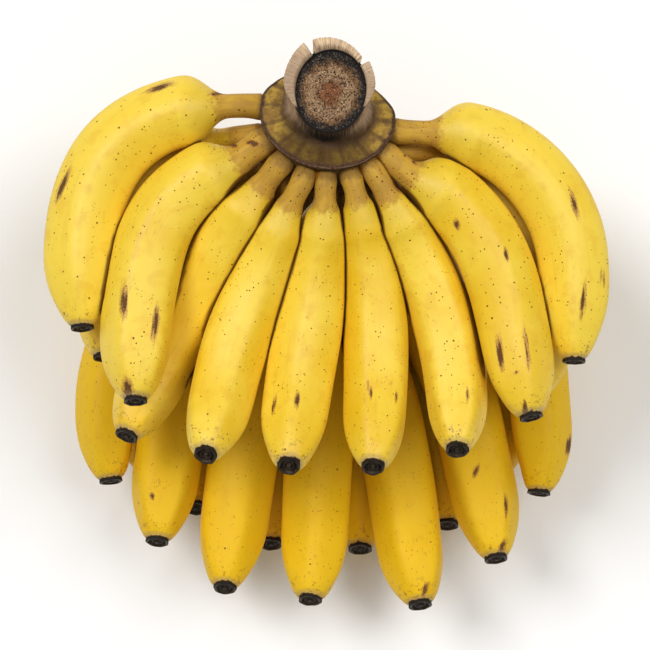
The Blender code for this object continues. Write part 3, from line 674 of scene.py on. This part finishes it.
def torn_edge(angle):
    """How far the torn edge drops below its flap."""
    turn = np.radians(angle)
    teeth = np.sin(41.0 * turn) * np.sin(17.0 * turn + 1.0) + 0.6 * np.sin(83.0 * turn + 2.0)
    return 0.30 + 0.20 * teeth


def grain(axial, angle):
    """Fine upright fibres of the woody rind."""
    turn = np.radians(angle)
    fine = np.sin(61.0 * turn + 0.12 * axial + 4.0 * np.sin(5.0 * turn))
    finer = np.sin(113.0 * turn - 0.1 * axial + 7.0 * np.sin(4.0 * turn + 1.0))
    return 0.12 * fine * np.sin(9.0 * turn + 2.0) + 0.07 * finer


def groove_at(angle):
    """1 in the grooves between the pads and 0 on the pads."""
    turn = np.radians(angle)
    swing = 0.5 + 0.5 * np.cos(CUSHION_RIBS * turn + 0.8 * slow_wave(angle, 1.0))
    return swing ** 3


def fine_profile(axial, angle):
    """Radius of the fine stalk: pads with narrow grooves, and upright grain above."""
    turn = np.radians(angle)
    ribs = ribs_at(axial)
    steps = np.array([-0.3, -0.15, 0.0, 0.15, 0.3])
    radius = sum(stalk_radius(axial + step, angle) for step in steps) / len(steps)
    radius = radius + ribs * (0.5 + 0.5 * np.cos(CUSHION_RIBS * turn))
    radius = radius - ribs * (0.9 * groove_at(angle) + 0.18 * (1.0 + slow_wave(angle, 2.0)))
    woody = smooth((axial - 5.0) / 8.0)
    return radius - (0.3 + grain(axial, angle)) * woody - 0.1


def fine_stalk():
    """Points, faces, face kinds and surface values of the stalk in fine detail."""
    angles = np.arange(STALK_FINE) * 360.0 / STALK_FINE
    turn = np.radians(angles)
    rng = np.random.default_rng(11)
    thick, tall = rind(angles)
    tall = np.maximum(tall - torn_edge(angles) * smooth((tall - 1.0) / 2.0), 0.5)
    edge = cut_height(angles, 1.0)
    rings = []

    def add(axial, radius, kind, groove=0.0):
        axial = np.broadcast_to(np.asarray(axial, float), angles.shape)
        radius = np.broadcast_to(np.asarray(radius, float), angles.shape)
        points = []
        for height, reach, way in zip(axial, radius, turn):
            centre, _, right, rear = stalk_frame(height)
            points.append(centre + reach * (math.cos(way) * right + math.sin(way) * rear))
        rings.append((points, axial, radius, kind, np.broadcast_to(groove, angles.shape)))

    for share in np.linspace(0.03, 0.97, 34):
        fibre = rng.uniform(-0.35, 0.2, STALK_FINE) * smooth(share / 0.25)
        hollow = 0.5 - 0.5 * math.cos(2.0 * math.pi * share)
        hollow = hollow + 0.6 * float(smooth((share - 0.8) / 0.15))
        add(cut_height(angles, share) - 0.5 - 0.5 * hollow + fibre, core_edge(angles) * share, 0)
    for share, outward in RIM:
        fibre = grain(0.0, angles) * float(smooth(share * 3.0))
        rough = rng.uniform(-0.25, 0.0, STALK_FINE) * (1.0 if 0.15 < outward < 0.9 else 0.15)
        reach = core_edge(angles) + FLAP_LEAN * tall * share * share + thick * outward
        add(edge + tall * share + rough, reach - 0.1 - 0.5 * fibre, 1)
    for share in np.linspace(0.98, 0.0, 30, endpoint=False):
        axial = WALL_BASE + (edge - WALL_BASE) * share
        add(axial, fine_profile(axial, angles), 1)
    heights = list(np.arange(WALL_BASE, 4.0, -0.5)) + list(np.arange(4.0, 0.8, -0.12))
    heights += list(np.arange(0.8, -4.0, -0.3)) + list(np.arange(-4.2, HEIGHTS[0], -1.3))
    for axial in heights + [HEIGHTS[0]]:
        add(axial, fine_profile(axial, angles), 1, groove_at(angles) * min(1.0, float(ribs_at(axial))))

    foot = np.array([FOOT_CENTRE[0], FOOT_CENTRE[1], FLOOR])
    last = np.array(rings[-1][0])
    lower = foot + FOOT_RADIUS * around(1.0, turn, np.zeros(STALK_FINE))
    for share in (0.15, 0.3, 0.5, 0.7, 0.85, 1.0):
        place = list(last + (lower - last) * share)
        rings.append((place, rings[-1][1] - 1.0, rings[-1][2], 1, np.zeros(STALK_FINE)))

    centre, axis, right, rear = stalk_frame(CUT_HEIGHT)
    points = np.concatenate([[centre - 0.7 * axis]] + [np.array(r[0]) for r in rings] + [[foot]])
    points[:, 2] = np.maximum(points[:, 2], FLOOR)
    faces = tube_faces(len(rings), STALK_FINE, 0, len(points) - 1)

    def column(pick, first_value, last_value):
        middle = [np.asarray(ring[pick], float) for ring in rings]
        return np.concatenate([[first_value]] + middle + [[last_value]])

    height = column(1, CUT_HEIGHT, rings[-1][1][0])
    radius = column(2, 0.0, 0.0)
    way = np.concatenate([[0.0], np.tile(turn, len(rings)), [0.0]])
    kinds = np.concatenate([[0]] + [np.full(STALK_FINE, r[3]) for r in rings] + [[1]])
    thick_all = np.concatenate([[0.0], np.tile(thick - RIND, len(rings)), [0.0]])
    values = {
        "height": height,
        "core": radius / core_edge(np.degrees(way)),
        "above_cut": height - cut_height(np.degrees(way), 1.0),
        "groove": column(4, 0.0, 0.0),
        "rear": np.sin(way),
        "flap": thick_all,
        "wrap": around(radius, way, height),
        "fibre": around(24.0, way, height + 0.6 * radius),
        "disc": around(radius, way, height * 0.0),
    }
    slots = [int(max(kinds[a], kinds[b], kinds[c])) for a, b, c in faces]
    return points, faces, values, slots


class Look:
    """A material under construction: short names for the nodes it is made from."""

    def __init__(self, name, roughness):
        self.material = bpy.data.materials.new(name)
        self.material.use_nodes = True
        self.tree = self.material.node_tree
        self.shader = self.tree.nodes["Principled BSDF"]
        self.shader.inputs["Roughness"].default_value = roughness
        self.shader.inputs["Specular IOR Level"].default_value = 0.2

    def node(self, kind, inputs, **settings):
        """A node with its settings, each input set or linked."""
        made = self.tree.nodes.new(kind)
        for key, value in settings.items():
            setattr(made, key, value)
        for key, value in inputs.items():
            self.plug(value, made.inputs[key])
        return made

    def plug(self, value, socket):
        if isinstance(value, bpy.types.NodeSocket):
            self.tree.links.new(value, socket)
        else:
            socket.default_value = value

    def value(self, name, kind="Fac"):
        """A value that the mesh carries, as a number or as a vector."""
        return self.node("ShaderNodeAttribute", {}, attribute_name=name).outputs[kind]

    def calc(self, operation, first, second=0.0):
        inputs = {0: first, 1: second}
        return self.node("ShaderNodeMath", inputs, operation=operation).outputs[0]

    def add(self, first, second):
        return self.calc("ADD", first, second)

    def less(self, first, second):
        return self.calc("SUBTRACT", first, second)

    def times(self, first, second):
        return self.calc("MULTIPLY", first, second)

    def most(self, first, second):
        return self.calc("MAXIMUM", first, second)

    def across(self, operation, vector, change):
        """A vector scaled or moved."""
        inputs = {0: vector, 1: change}
        return self.node("ShaderNodeVectorMath", inputs, operation=operation).outputs[0]

    def drawn(self, vector, scale):
        """Places drawn out lengthways, so that a pattern on them is streaked."""
        return self.across("MULTIPLY", vector, (1.0, 1.0, scale))

    def sway(self, value, field, width):
        """A value shifted up and down by a noise field, over this width."""
        return self.add(value, self.times(self.less(field, 0.5), width))

    def dots(self, vector, scale, least, most, share, edge):
        """Round dots, one in some of the cells, each of its own size."""
        cells = self.node("ShaderNodeTexVoronoi", {"Vector": vector, "Scale": scale}).outputs
        chance = self.node("ShaderNodeSeparateColor", {0: cells["Color"]}).outputs[0]
        size = self.fade(chance, 1.0 - share, 1.0, least, most)
        inside = self.fade(self.less(cells["Distance"], size), edge, 0.0)
        return self.times(inside, self.calc("GREATER_THAN", chance, 1.0 - share))

    def noise(self, vector, scale, detail=3.0, rough=0.55):
        inputs = {"Vector": vector, "Scale": scale, "Detail": detail, "Roughness": rough}
        return self.node("ShaderNodeTexNoise", inputs).outputs["Fac"]

    def fade(self, value, low, high, out_low=0.0, out_high=1.0):
        """A smooth step from one output to the other while a value goes from low to high."""
        inputs = dict(enumerate((value, low, high, out_low, out_high)))
        return self.node("ShaderNodeMapRange", inputs, interpolation_type="SMOOTHSTEP").outputs[0]

    def blend(self, share, first, second):
        inputs = {"Factor": share}
        for key, colour in ((6, first), (7, second)):
            inputs[key] = colour if isinstance(colour, bpy.types.NodeSocket) else (*colour, 1.0)
        return self.node("ShaderNodeMix", inputs, data_type="RGBA").outputs[2]

    def wash(self, colour, tint, field, low, high, strength=1.0):
        """A colour washed over with a tint where a field goes from low to high."""
        return self.blend(self.fade(field, low, high, 0.0, strength), colour, tint)

    def bump(self, height, strength, distance):
        inputs = {"Height": height, "Strength": strength, "Distance": distance}
        made = self.node("ShaderNodeBump", inputs)
        self.plug(made.outputs[0], self.shader.inputs["Normal"])

    def shine(self, level):
        """How strongly the surface mirrors light."""
        self.plug(level, self.shader.inputs["Specular IOR Level"])

    def tools(self):
        """The methods used most, to be called by their bare names."""
        return self.value, self.add, self.times, self.fade, self.wash, self.blend, self.noise

    def finish(self, colour, roughness=None):
        self.plug(colour, self.shader.inputs["Base Color"])
        if roughness is not None:
            self.plug(roughness, self.shader.inputs["Roughness"])
        return self.material


def skin_look():
    """Ripe banana skin: gold and yellow, brown at the neck, specked, bruised, dark at the tip, with
    painted shade between fruits and on the lower hand.
    """
    look = Look("ripe_skin", 0.5)
    value, add, times, fade, wash, blend, noise = look.tools()
    wrap = value("wrap", "Vector")
    from_neck, from_tip, ridge, lower = map(value, ("from_neck", "from_tip", "ridge", "lower"))
    along = look.drawn(wrap, 0.12)
    cloud = noise(wrap, 0.03, 3.0, 0.5)
    patch = noise(wrap, 0.11, 4.0, 0.6)
    streak = noise(look.drawn(wrap, 0.06), 0.3, 3.0, 0.55)
    fine = noise(wrap, 0.9, 4.0, 0.6)
    rough_edge = noise(wrap, 0.35, 5.0, 0.65)

    tone = add(times(cloud, 0.8), times(value("seed"), 0.2))
    colour = wash((0.93, 0.66, 0.044), (0.87, 0.56, 0.01), tone, 0.36, 0.66)
    # Painted shade: the lower hand, lying under the upper one, is painted a deeper gold.
    colour = blend(times(lower, 0.75), colour, (0.8, 0.475, 0.004))
    colour = wash(colour, (0.82, 0.46, 0.01), patch, 0.5, 0.68, 0.4)
    colour = wash(colour, (0.66, 0.38, 0.02), streak, 0.54, 0.72, 0.18)
    corner = times(fade(ridge, 0.72, 1.0), fade(patch, 0.36, 0.6, 0.0, 0.22))
    colour = blend(corner, colour, (0.66, 0.36, 0.02))

    shoulder = fade(look.sway(from_neck, patch, 26.0), 16.0, 3.0, 0.0, 0.55)
    colour = blend(shoulder, colour, (0.66, 0.44, 0.02))
    neck = fade(look.sway(from_neck, rough_edge, 9.0), 3.0, -0.6)
    neck_tone = wash((0.6, 0.345, 0.045), (0.36, 0.175, 0.032), noise(along, 0.3, 4.0, 0.6), 0.4,
                     0.66, 0.5)
    neck_tone = wash(neck_tone, (0.43, 0.235, 0.045), patch, 0.46, 0.6, 0.6)
    colour = blend(times(neck, 0.95), colour, neck_tone)
    root = fade(look.sway(value("from_root"), rough_edge, 7.0), 6.0, 1.5, 0.0, 0.7)
    colour = blend(root, colour, (0.15, 0.075, 0.025))

    # Painted shade: darker where fruits press on each other.
    contact_shade = fade(add(value("contact_shade"), times(fine, 0.3)), 0.9, 1.6, 0.0, 0.35)
    colour = blend(contact_shade, colour, (0.36, 0.18, 0.015))
    # Painted shade: darker in the narrow gaps next to neighbouring fruits.
    gap_shade = fade(look.sway(value("gap_shade"), fine, 0.2), 0.25, 0.95, 0.0, 0.85)
    colour = blend(gap_shade, colour, (0.23, 0.09, 0.006))

    single = look.dots(wrap, 0.36, 0.07, 0.15, 0.5, 0.025)
    crowd = look.dots(wrap, 0.6, 0.08, 0.15, 0.6, 0.04)
    crowd = times(crowd, fade(noise(wrap, 0.045, 2.0), 0.56, 0.64))
    on_neck = times(look.dots(wrap, 0.55, 0.07, 0.17, 0.6, 0.05), fade(from_neck, 8.0, 0.0))
    big = look.dots(wrap, 0.16, 0.04, 0.09, 0.35, 0.02)
    single = times(single, fade(lower, 0.0, 1.0, 1.0, 0.6))
    specks = look.most(look.most(single, crowd), look.most(on_neck, big))
    colour = blend(times(specks, 0.92), colour, (0.11, 0.022, 0.002))

    scuffs = noise(look.drawn(wrap, 0.3), 0.9, 5.0, 0.7)
    scuff = times(fade(noise(wrap, 0.06, 2.0), 0.57, 0.66), fade(scuffs, 0.56, 0.64))
    colour = blend(times(scuff, 0.5), colour, (0.36, 0.16, 0.02))

    bruise = value("bruise")
    ragged = look.sway(bruise, noise(along, 0.55, 4.0, 0.6), 0.9)
    ragged = look.sway(ragged, noise(wrap, 1.3, 3.0, 0.6), 0.55)
    faint = fade(ragged, 0.32, 0.55, 0.0, 0.75)
    deep = fade(ragged, 0.54, 0.72, 0.0, 0.92)
    colour = blend(faint, colour, (0.46, 0.2, 0.025))
    colour = blend(deep, colour, (0.095, 0.036, 0.014))

    tip_place = look.sway(from_tip, rough_edge, 3.0)
    fleck = times(fade(rough_edge, 0.56, 0.64), fade(from_tip, 15.0, 5.0, 0.0, 0.6))
    colour = blend(fleck, colour, (0.25, 0.11, 0.02))
    colour = wash(colour, (0.38, 0.25, 0.12), tip_place, 4.6, 2.2, 0.6)
    dark = fade(tip_place, 2.5, 1.9)
    colour = blend(dark, colour, (0.02, 0.014, 0.01))

    worn = times(look.most(dark, deep), 0.7)
    roughness = look.most(fade(fine, 0.2, 0.8, 0.44, 0.58), worn)
    dull = look.most(look.most(dark, deep), look.most(specks, neck))
    # Painted shade: the lower hand is also given less shine, so it shows no highlights.
    dull = look.most(dull, times(lower, 0.85))
    look.shine(fade(dull, 0.0, 1.0, 0.66, 0.15))
    pores = noise(wrap, 1.6, 3.0, 0.6)
    height = add(times(pores, 0.35), times(patch, 1.2))
    height = look.less(height, times(specks, 0.25))
    height = look.less(height, times(deep, 0.3))
    height = add(height, times(times(neck, streak), 1.6))
    height = add(height, times(times(dark, fine), 1.4))
    look.bump(height, 0.35, 0.0006)
    return look.finish(colour, roughness)


def tip_look():
    """The dried flower end: nearly black, wrinkled, with a slight shine."""
    look = Look("dried_tip", 0.4)
    value, add, times, fade, wash, blend, noise = look.tools()
    look.shine(0.4)
    look.shader.inputs["Specular Tint"].default_value = (1.0, 0.8, 0.6, 1.0)
    wrap = value("wrap", "Vector")
    mottle = noise(wrap, 0.9, 5.0, 0.65)
    colour = wash((0.01, 0.006, 0.003), (0.045, 0.026, 0.014), mottle, 0.45, 0.72)
    look.bump(noise(wrap, 1.4, 4.0, 0.7), 0.5, 0.0008)
    return look.finish(colour, fade(mottle, 0.3, 0.7, 0.24, 0.5))


def cut_look():
    """The cut end of the stalk: pale fibre ends on brown, reddish in the middle, black at the rim."""
    look = Look("cut_fibre", 0.85)
    value, add, times, fade, wash, blend, noise = look.tools()
    disc = value("disc", "Vector")
    place = look.sway(value("core"), noise(disc, 0.22, 5.0, 0.7), 0.55)
    # Painted shade: towards the rear the face is moved towards its black rim, so the rim is wider there,
    # under the tall rear flaps.
    place = add(place, fade(value("rear"), 0.45, 1.0, 0.0, 0.1))
    brown = wash((0.36, 0.12, 0.046), (0.25, 0.125, 0.052), place, 0.05, 0.5)
    ring = times(fade(place, 0.28, 0.5), fade(place, 0.8, 0.58))
    brown = blend(times(ring, 0.8), brown, (0.5, 0.3, 0.155))
    blotch = noise(disc, 0.35, 4.0, 0.6)
    brown = wash(brown, (0.09, 0.045, 0.022), blotch, 0.46, 0.66, 0.45)
    ends = look.dots(disc, 1.4, 0.2, 0.55, 0.5, 0.12)
    threads = fade(noise(disc, 1.7, 2.0, 0.6), 0.52, 0.62)
    pale = look.most(ends, times(threads, 0.55))
    moved = look.across("ADD", disc, (31.0, 17.0, 5.0))
    pits = look.dots(moved, 1.3, 0.18, 0.48, 0.55, 0.12)
    showing = add(times(ring, 0.55), 0.4)
    colour = blend(times(pale, showing), brown, (0.68, 0.48, 0.3))
    colour = blend(times(pits, 0.92), colour, (0.02, 0.01, 0.007))
    rim = fade(place, 0.72, 0.93)
    rim_colour = blend(times(pale, 0.4), (0.018, 0.015, 0.014), (0.3, 0.25, 0.2))
    colour = blend(rim, colour, rim_colour)
    relief = look.less(pale, pits)
    look.bump(add(relief, noise(disc, 1.5, 4.0, 0.7)), 0.9, 0.0008)
    return look.finish(colour)


def rind_look():
    """The stalk's rind: grey-brown grain on the torn flaps, paler to the rear as painted light, olive
    pads with painted shade in front under the cut, dark folds and scar.
    """
    look = Look("stalk_rind", 0.62)
    value, add, times, fade, wash, blend, noise = look.tools()
    wrap = value("wrap", "Vector")
    height = value("height")
    groove = value("groove")
    fibre = value("fibre", "Vector")
    grain_fine = noise(look.drawn(fibre, 0.08), 1.5, 5.0, 0.65)
    grain_wide = noise(look.drawn(fibre, 0.2), 0.4, 5.0, 0.6)
    cloud = noise(wrap, 0.14, 4.0, 0.6)
    mottle = noise(wrap, 0.42, 5.0, 0.65)

    # Painted light: the wood is paler towards the rear, where the light falls.
    lit = wash((0.6, 0.43, 0.28), (0.999, 0.74, 0.46), value("rear"), 0.25, 0.9)
    wood = wash(lit, (0.48, 0.32, 0.2), grain_fine, 0.36, 0.66)
    wood = wash(wood, (0.47, 0.28, 0.17), grain_wide, 0.48, 0.68, 0.5)
    wood = wash(wood, (0.29, 0.2, 0.135), mottle, 0.54, 0.7, 0.4)
    pad = wash((0.64, 0.4, 0.062), (0.33, 0.18, 0.042), cloud, 0.4, 0.6)
    pad = wash(pad, (0.185, 0.1, 0.038), mottle, 0.48, 0.66, 0.5)
    fold = look.sway(groove, grain_wide, 1.3)
    pad = wash(pad, (0.115, 0.06, 0.03), fold, 0.3, 1.0, 0.65)
    # Painted shade: the pads in front are darkened, under the overhanging cut.
    pad = wash(pad, (0.062, 0.03, 0.004), value("rear"), -0.3, -0.9, 0.8)

    place = look.sway(height, grain_wide, 9.0)
    # Painted shade: in front the dark band under the cut reaches higher.
    place = add(place, fade(value("rear"), -0.2, -0.9, 0.0, -5.0))
    colour = wash(pad, wood, place, 3.5, 10.0)
    # A dark band in the collar's hollow below the flaps: partly the collar's own brown colour, partly
    # painted shade in the recess.
    middle = times(fade(height, 2.0, 4.5), fade(place, 14.0, 6.0))
    colour = blend(times(middle, 0.72), colour, (0.07, 0.038, 0.024))
    above = add(value("above_cut"), times(grain_fine, 1.2))
    thin = fade(value("flap"), 1.0, 0.2)
    rim = times(fade(above, -2.6, -0.6), thin)
    foot_of_flap = times(fade(value("core"), 1.06, 1.01), fade(above, 2.0, 0.9))
    colour = blend(look.most(rim, foot_of_flap), colour, (0.018, 0.015, 0.015))

    near_scar = look.calc("ABSOLUTE", add(height, 0.4))
    scar = fade(look.sway(near_scar, mottle, 1.0), 1.85, 1.45)
    line = fade(look.calc("ABSOLUTE", look.less(near_scar, 0.95)), 0.3, 0.08)
    scar_colour = wash((0.11, 0.053, 0.026), (0.04, 0.019, 0.01), noise(wrap, 1.4, 4.0, 0.7), 0.42,
                       0.62)
    line = times(line, fade(mottle, 0.38, 0.58, 0.0, 0.7))
    scar_colour = blend(line, scar_colour, (0.25, 0.15, 0.085))
    colour = blend(scar, colour, scar_colour)

    low = fade(height, -3.0, -7.0)
    under = wash((0.215, 0.14, 0.036), (0.135, 0.08, 0.03), cloud, 0.34, 0.68)
    under = wash(under, (0.08, 0.045, 0.022), grain_wide, 0.46, 0.7, 0.45)
    colour = blend(low, colour, under)
    relief = add(grain_fine, times(noise(wrap, 1.6, 4.0, 0.65), 0.5))
    relief = add(relief, times(grain_wide, 0.9))
    look.bump(relief, 0.7, 0.0012)
    return look.finish(colour, fade(grain_fine, 0.3, 0.7, 0.55, 0.8))


# Bruises of each fruit: where on the photographed side (right, up the page), length,
# width, lean in degrees.
BRUISES = {
    "banana_front_1": ((-83, 118.8, 14, 2.8, 18), (-131, 70, 17, 3, 66),
        (-54.5, 115.5, 7, 2.2, 5)),
    "banana_front_2": ((-100.5, 12.5, 17, 3.6, 88), (-85, 0, 19, 3, 84),
        (-98.5, -32, 11, 5, 100), (-36.5, 91, 7, 3.4, 165), (-46, 90, 6, 3, 158),
        (-56, 88, 3, 1.6, 100)),
    "banana_front_5": ((-25.5, -40, 10, 1.8, 80), (-14, -37.5, 9, 2.6, 88)),
    "banana_front_6": ((22.5, -33, 9, 1.8, 100), (36, -36, 7, 1.6, 88)),
    "banana_front_7": ((71.5, -35, 9, 1.8, 90), (36, 69.5, 8, 3.2, 125)),
    "banana_front_8": ((87.5, -13.5, 18, 3, 96), (101, -12.5, 22, 2.2, 98),
        (95.5, -24, 3, 2, 40), (90.5, 35, 7, 2.4, 100), (44.5, 81.5, 3.6, 1.8, 130),
        (40, 85, 2.6, 1.6, 60), (66, 50.5, 6, 3, 110), (100, -42, 8, 3, 95)),
    "banana_front_9": ((124.5, 61, 14, 2.6, 110), (129.2, 12, 17, 2.6, 84),
        (139, 24, 10, 1.8, 95)),
    "banana_lower_2": ((-86.5, -85.5, 3.6, 2.4, 90),),
    "banana_lower_6": ((75.5, -73, 7, 2.6, 70), (90.5, -90, 12, 2, 90), (88.5, -111, 8, 3, 70)),
    "banana_lower_7": ((122, -60, 10, 3, 80),),
    "banana_lower_5": ((50, -132, 7, 2.6, 70),),
}


def bruise_values(name, points, normals):
    """How bruised each point is: 1 in the middle of a bruise and 0 well outside it."""
    seen = points[:, :2] * (VIEW_HEIGHT / (VIEW_HEIGHT - points[:, 2:3]))
    worst = np.zeros(len(points))
    for x, y, length, width, lean in BRUISES.get(name, ()):
        turn = math.radians(lean)
        off = seen - np.array([x, y])
        along = (off[:, 0] * math.cos(turn) + off[:, 1] * math.sin(turn)) / (0.5 * length)
        across = (-off[:, 0] * math.sin(turn) + off[:, 1] * math.cos(turn)) / (0.5 * width)
        value = np.clip(1.0 - 0.5 * np.hypot(along, across), 0.0, 1.0)
        worst = np.maximum(worst, np.where(normals[:, 2] > -0.1, value, 0.0))
    return worst


def point_normals(points, faces):
    """Average normal at each point."""
    faces = np.array(faces)
    corner = points[faces]
    flat = np.cross(corner[:, 1] - corner[:, 0], corner[:, 2] - corner[:, 0])
    total = np.zeros_like(points)
    for k in range(3):
        np.add.at(total, faces[:, k], flat)
    return total / np.maximum(np.linalg.norm(total, axis=1), 1e-9)[:, None]


def outward(points, faces):
    """The same faces, all turned outward."""
    faces = np.array(faces)
    corner = points[faces]
    volume = np.einsum("ij,ij->i", corner[:, 0], np.cross(corner[:, 1], corner[:, 2])).sum()
    return faces if volume > 0.0 else faces[:, ::-1]


def make_bunch():
    """Every piece of the bunch."""
    skin, tip, cut, rough = skin_look(), tip_look(), cut_look(), rind_look()
    points, faces, values, slots = fine_stalk()
    stalk = add_piece("cut_stalk", points, outward(points, faces).tolist(), values, (cut, rough), slots)
    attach(stalk, "root")
    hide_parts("stalk")
    bark = BVHTree.FromPolygons([tuple(p) for p in points], faces)

    fruits = []
    for word, row, axial, in_front in ROWS:
        for place, spec in enumerate(row, 1):
            fruits.append(Fruit(f"banana_{word}_{place}", len(fruits), spec, axial, in_front))
    for fruit in fruits:
        near = neighbours(fruit, fruits)
        sides, spacing = FRONT_MESH if fruit.in_front else BACK_MESH
        points, faces, values = fine_fruit(fruit, near, bark, sides, spacing)
        faces = outward(points, faces)
        values["bruise"] = bruise_values(fruit.name, points, point_normals(points, faces))
        face_share = values.pop("tip_face")
        slots = [1 if min(face_share[a], face_share[b], face_share[c]) > 0.5 else 0 for a, b, c in faces]
        name = fruit.name.replace("banana", "fruit")
        piece = add_piece(name, points, faces.tolist(), values, (skin, tip), slots)
        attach(piece, "root")
        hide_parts(fruit.name)


def make_studio():
    """Pale floor, soft light and the camera over the bunch."""
    target = Vector((-CENTRE_X, -CENTRE_Y, -FLOOR)) * METRES
    floor_look = bpy.data.materials.new("pale_floor")
    floor_look.use_nodes = True
    shader = floor_look.node_tree.nodes["Principled BSDF"]
    shader.inputs["Base Color"].default_value = (0.97, 0.97, 0.97, 1.0)
    shader.inputs["Roughness"].default_value = 0.9
    mesh = bpy.data.meshes.new("floor")
    reach = FLOOR_REACH * METRES
    corners = [(x * reach, y * reach, 0) for x, y in ((-1, -1), (1, -1), (1, 1), (-1, 1))]
    mesh.from_pydata(corners, [], [(0, 1, 2, 3)])
    mesh.materials.append(floor_look)
    floor = put("floor", mesh)

    world = bpy.data.worlds.new("studio")
    world.use_nodes = True
    sky = world.node_tree.nodes["Background"].inputs
    sky[0].default_value, sky[1].default_value = (1.0, 1.0, 1.0, 1.0), 0.16
    bpy.context.scene.world = world
    for name, place, spread, power in (
        ("left", (-0.62, 0.50, 1.15), 24.0, 1.62),
        ("right", (0.62, 0.34, 1.15), 30.0, 1.15),
        ("over", (0.05, -0.10, 1.30), 60.0, 0.50),
    ):
        lamp = bpy.data.lights.new(name, "SUN")
        lamp.angle = math.radians(spread)
        lamp.energy = power
        holder = put(name, lamp)
        holder.location = place
        holder.rotation_euler = (-Vector(place)).to_track_quat("-Z", "Y").to_euler()

    lens = bpy.data.cameras.new("camera")
    lens.sensor_fit = "HORIZONTAL"
    lens.angle = 2.0 * math.atan(HALF_VIEW / VIEW_HEIGHT)
    lens.clip_start = 0.01
    lens.clip_end = 20.0
    camera = put("camera", lens)
    camera.location = target + Vector((0.0, 0.0, VIEW_HEIGHT * METRES))
    bpy.context.scene.camera = camera
    bpy.context.scene.view_settings.view_transform = "Standard"


make_bunch()
make_studio()
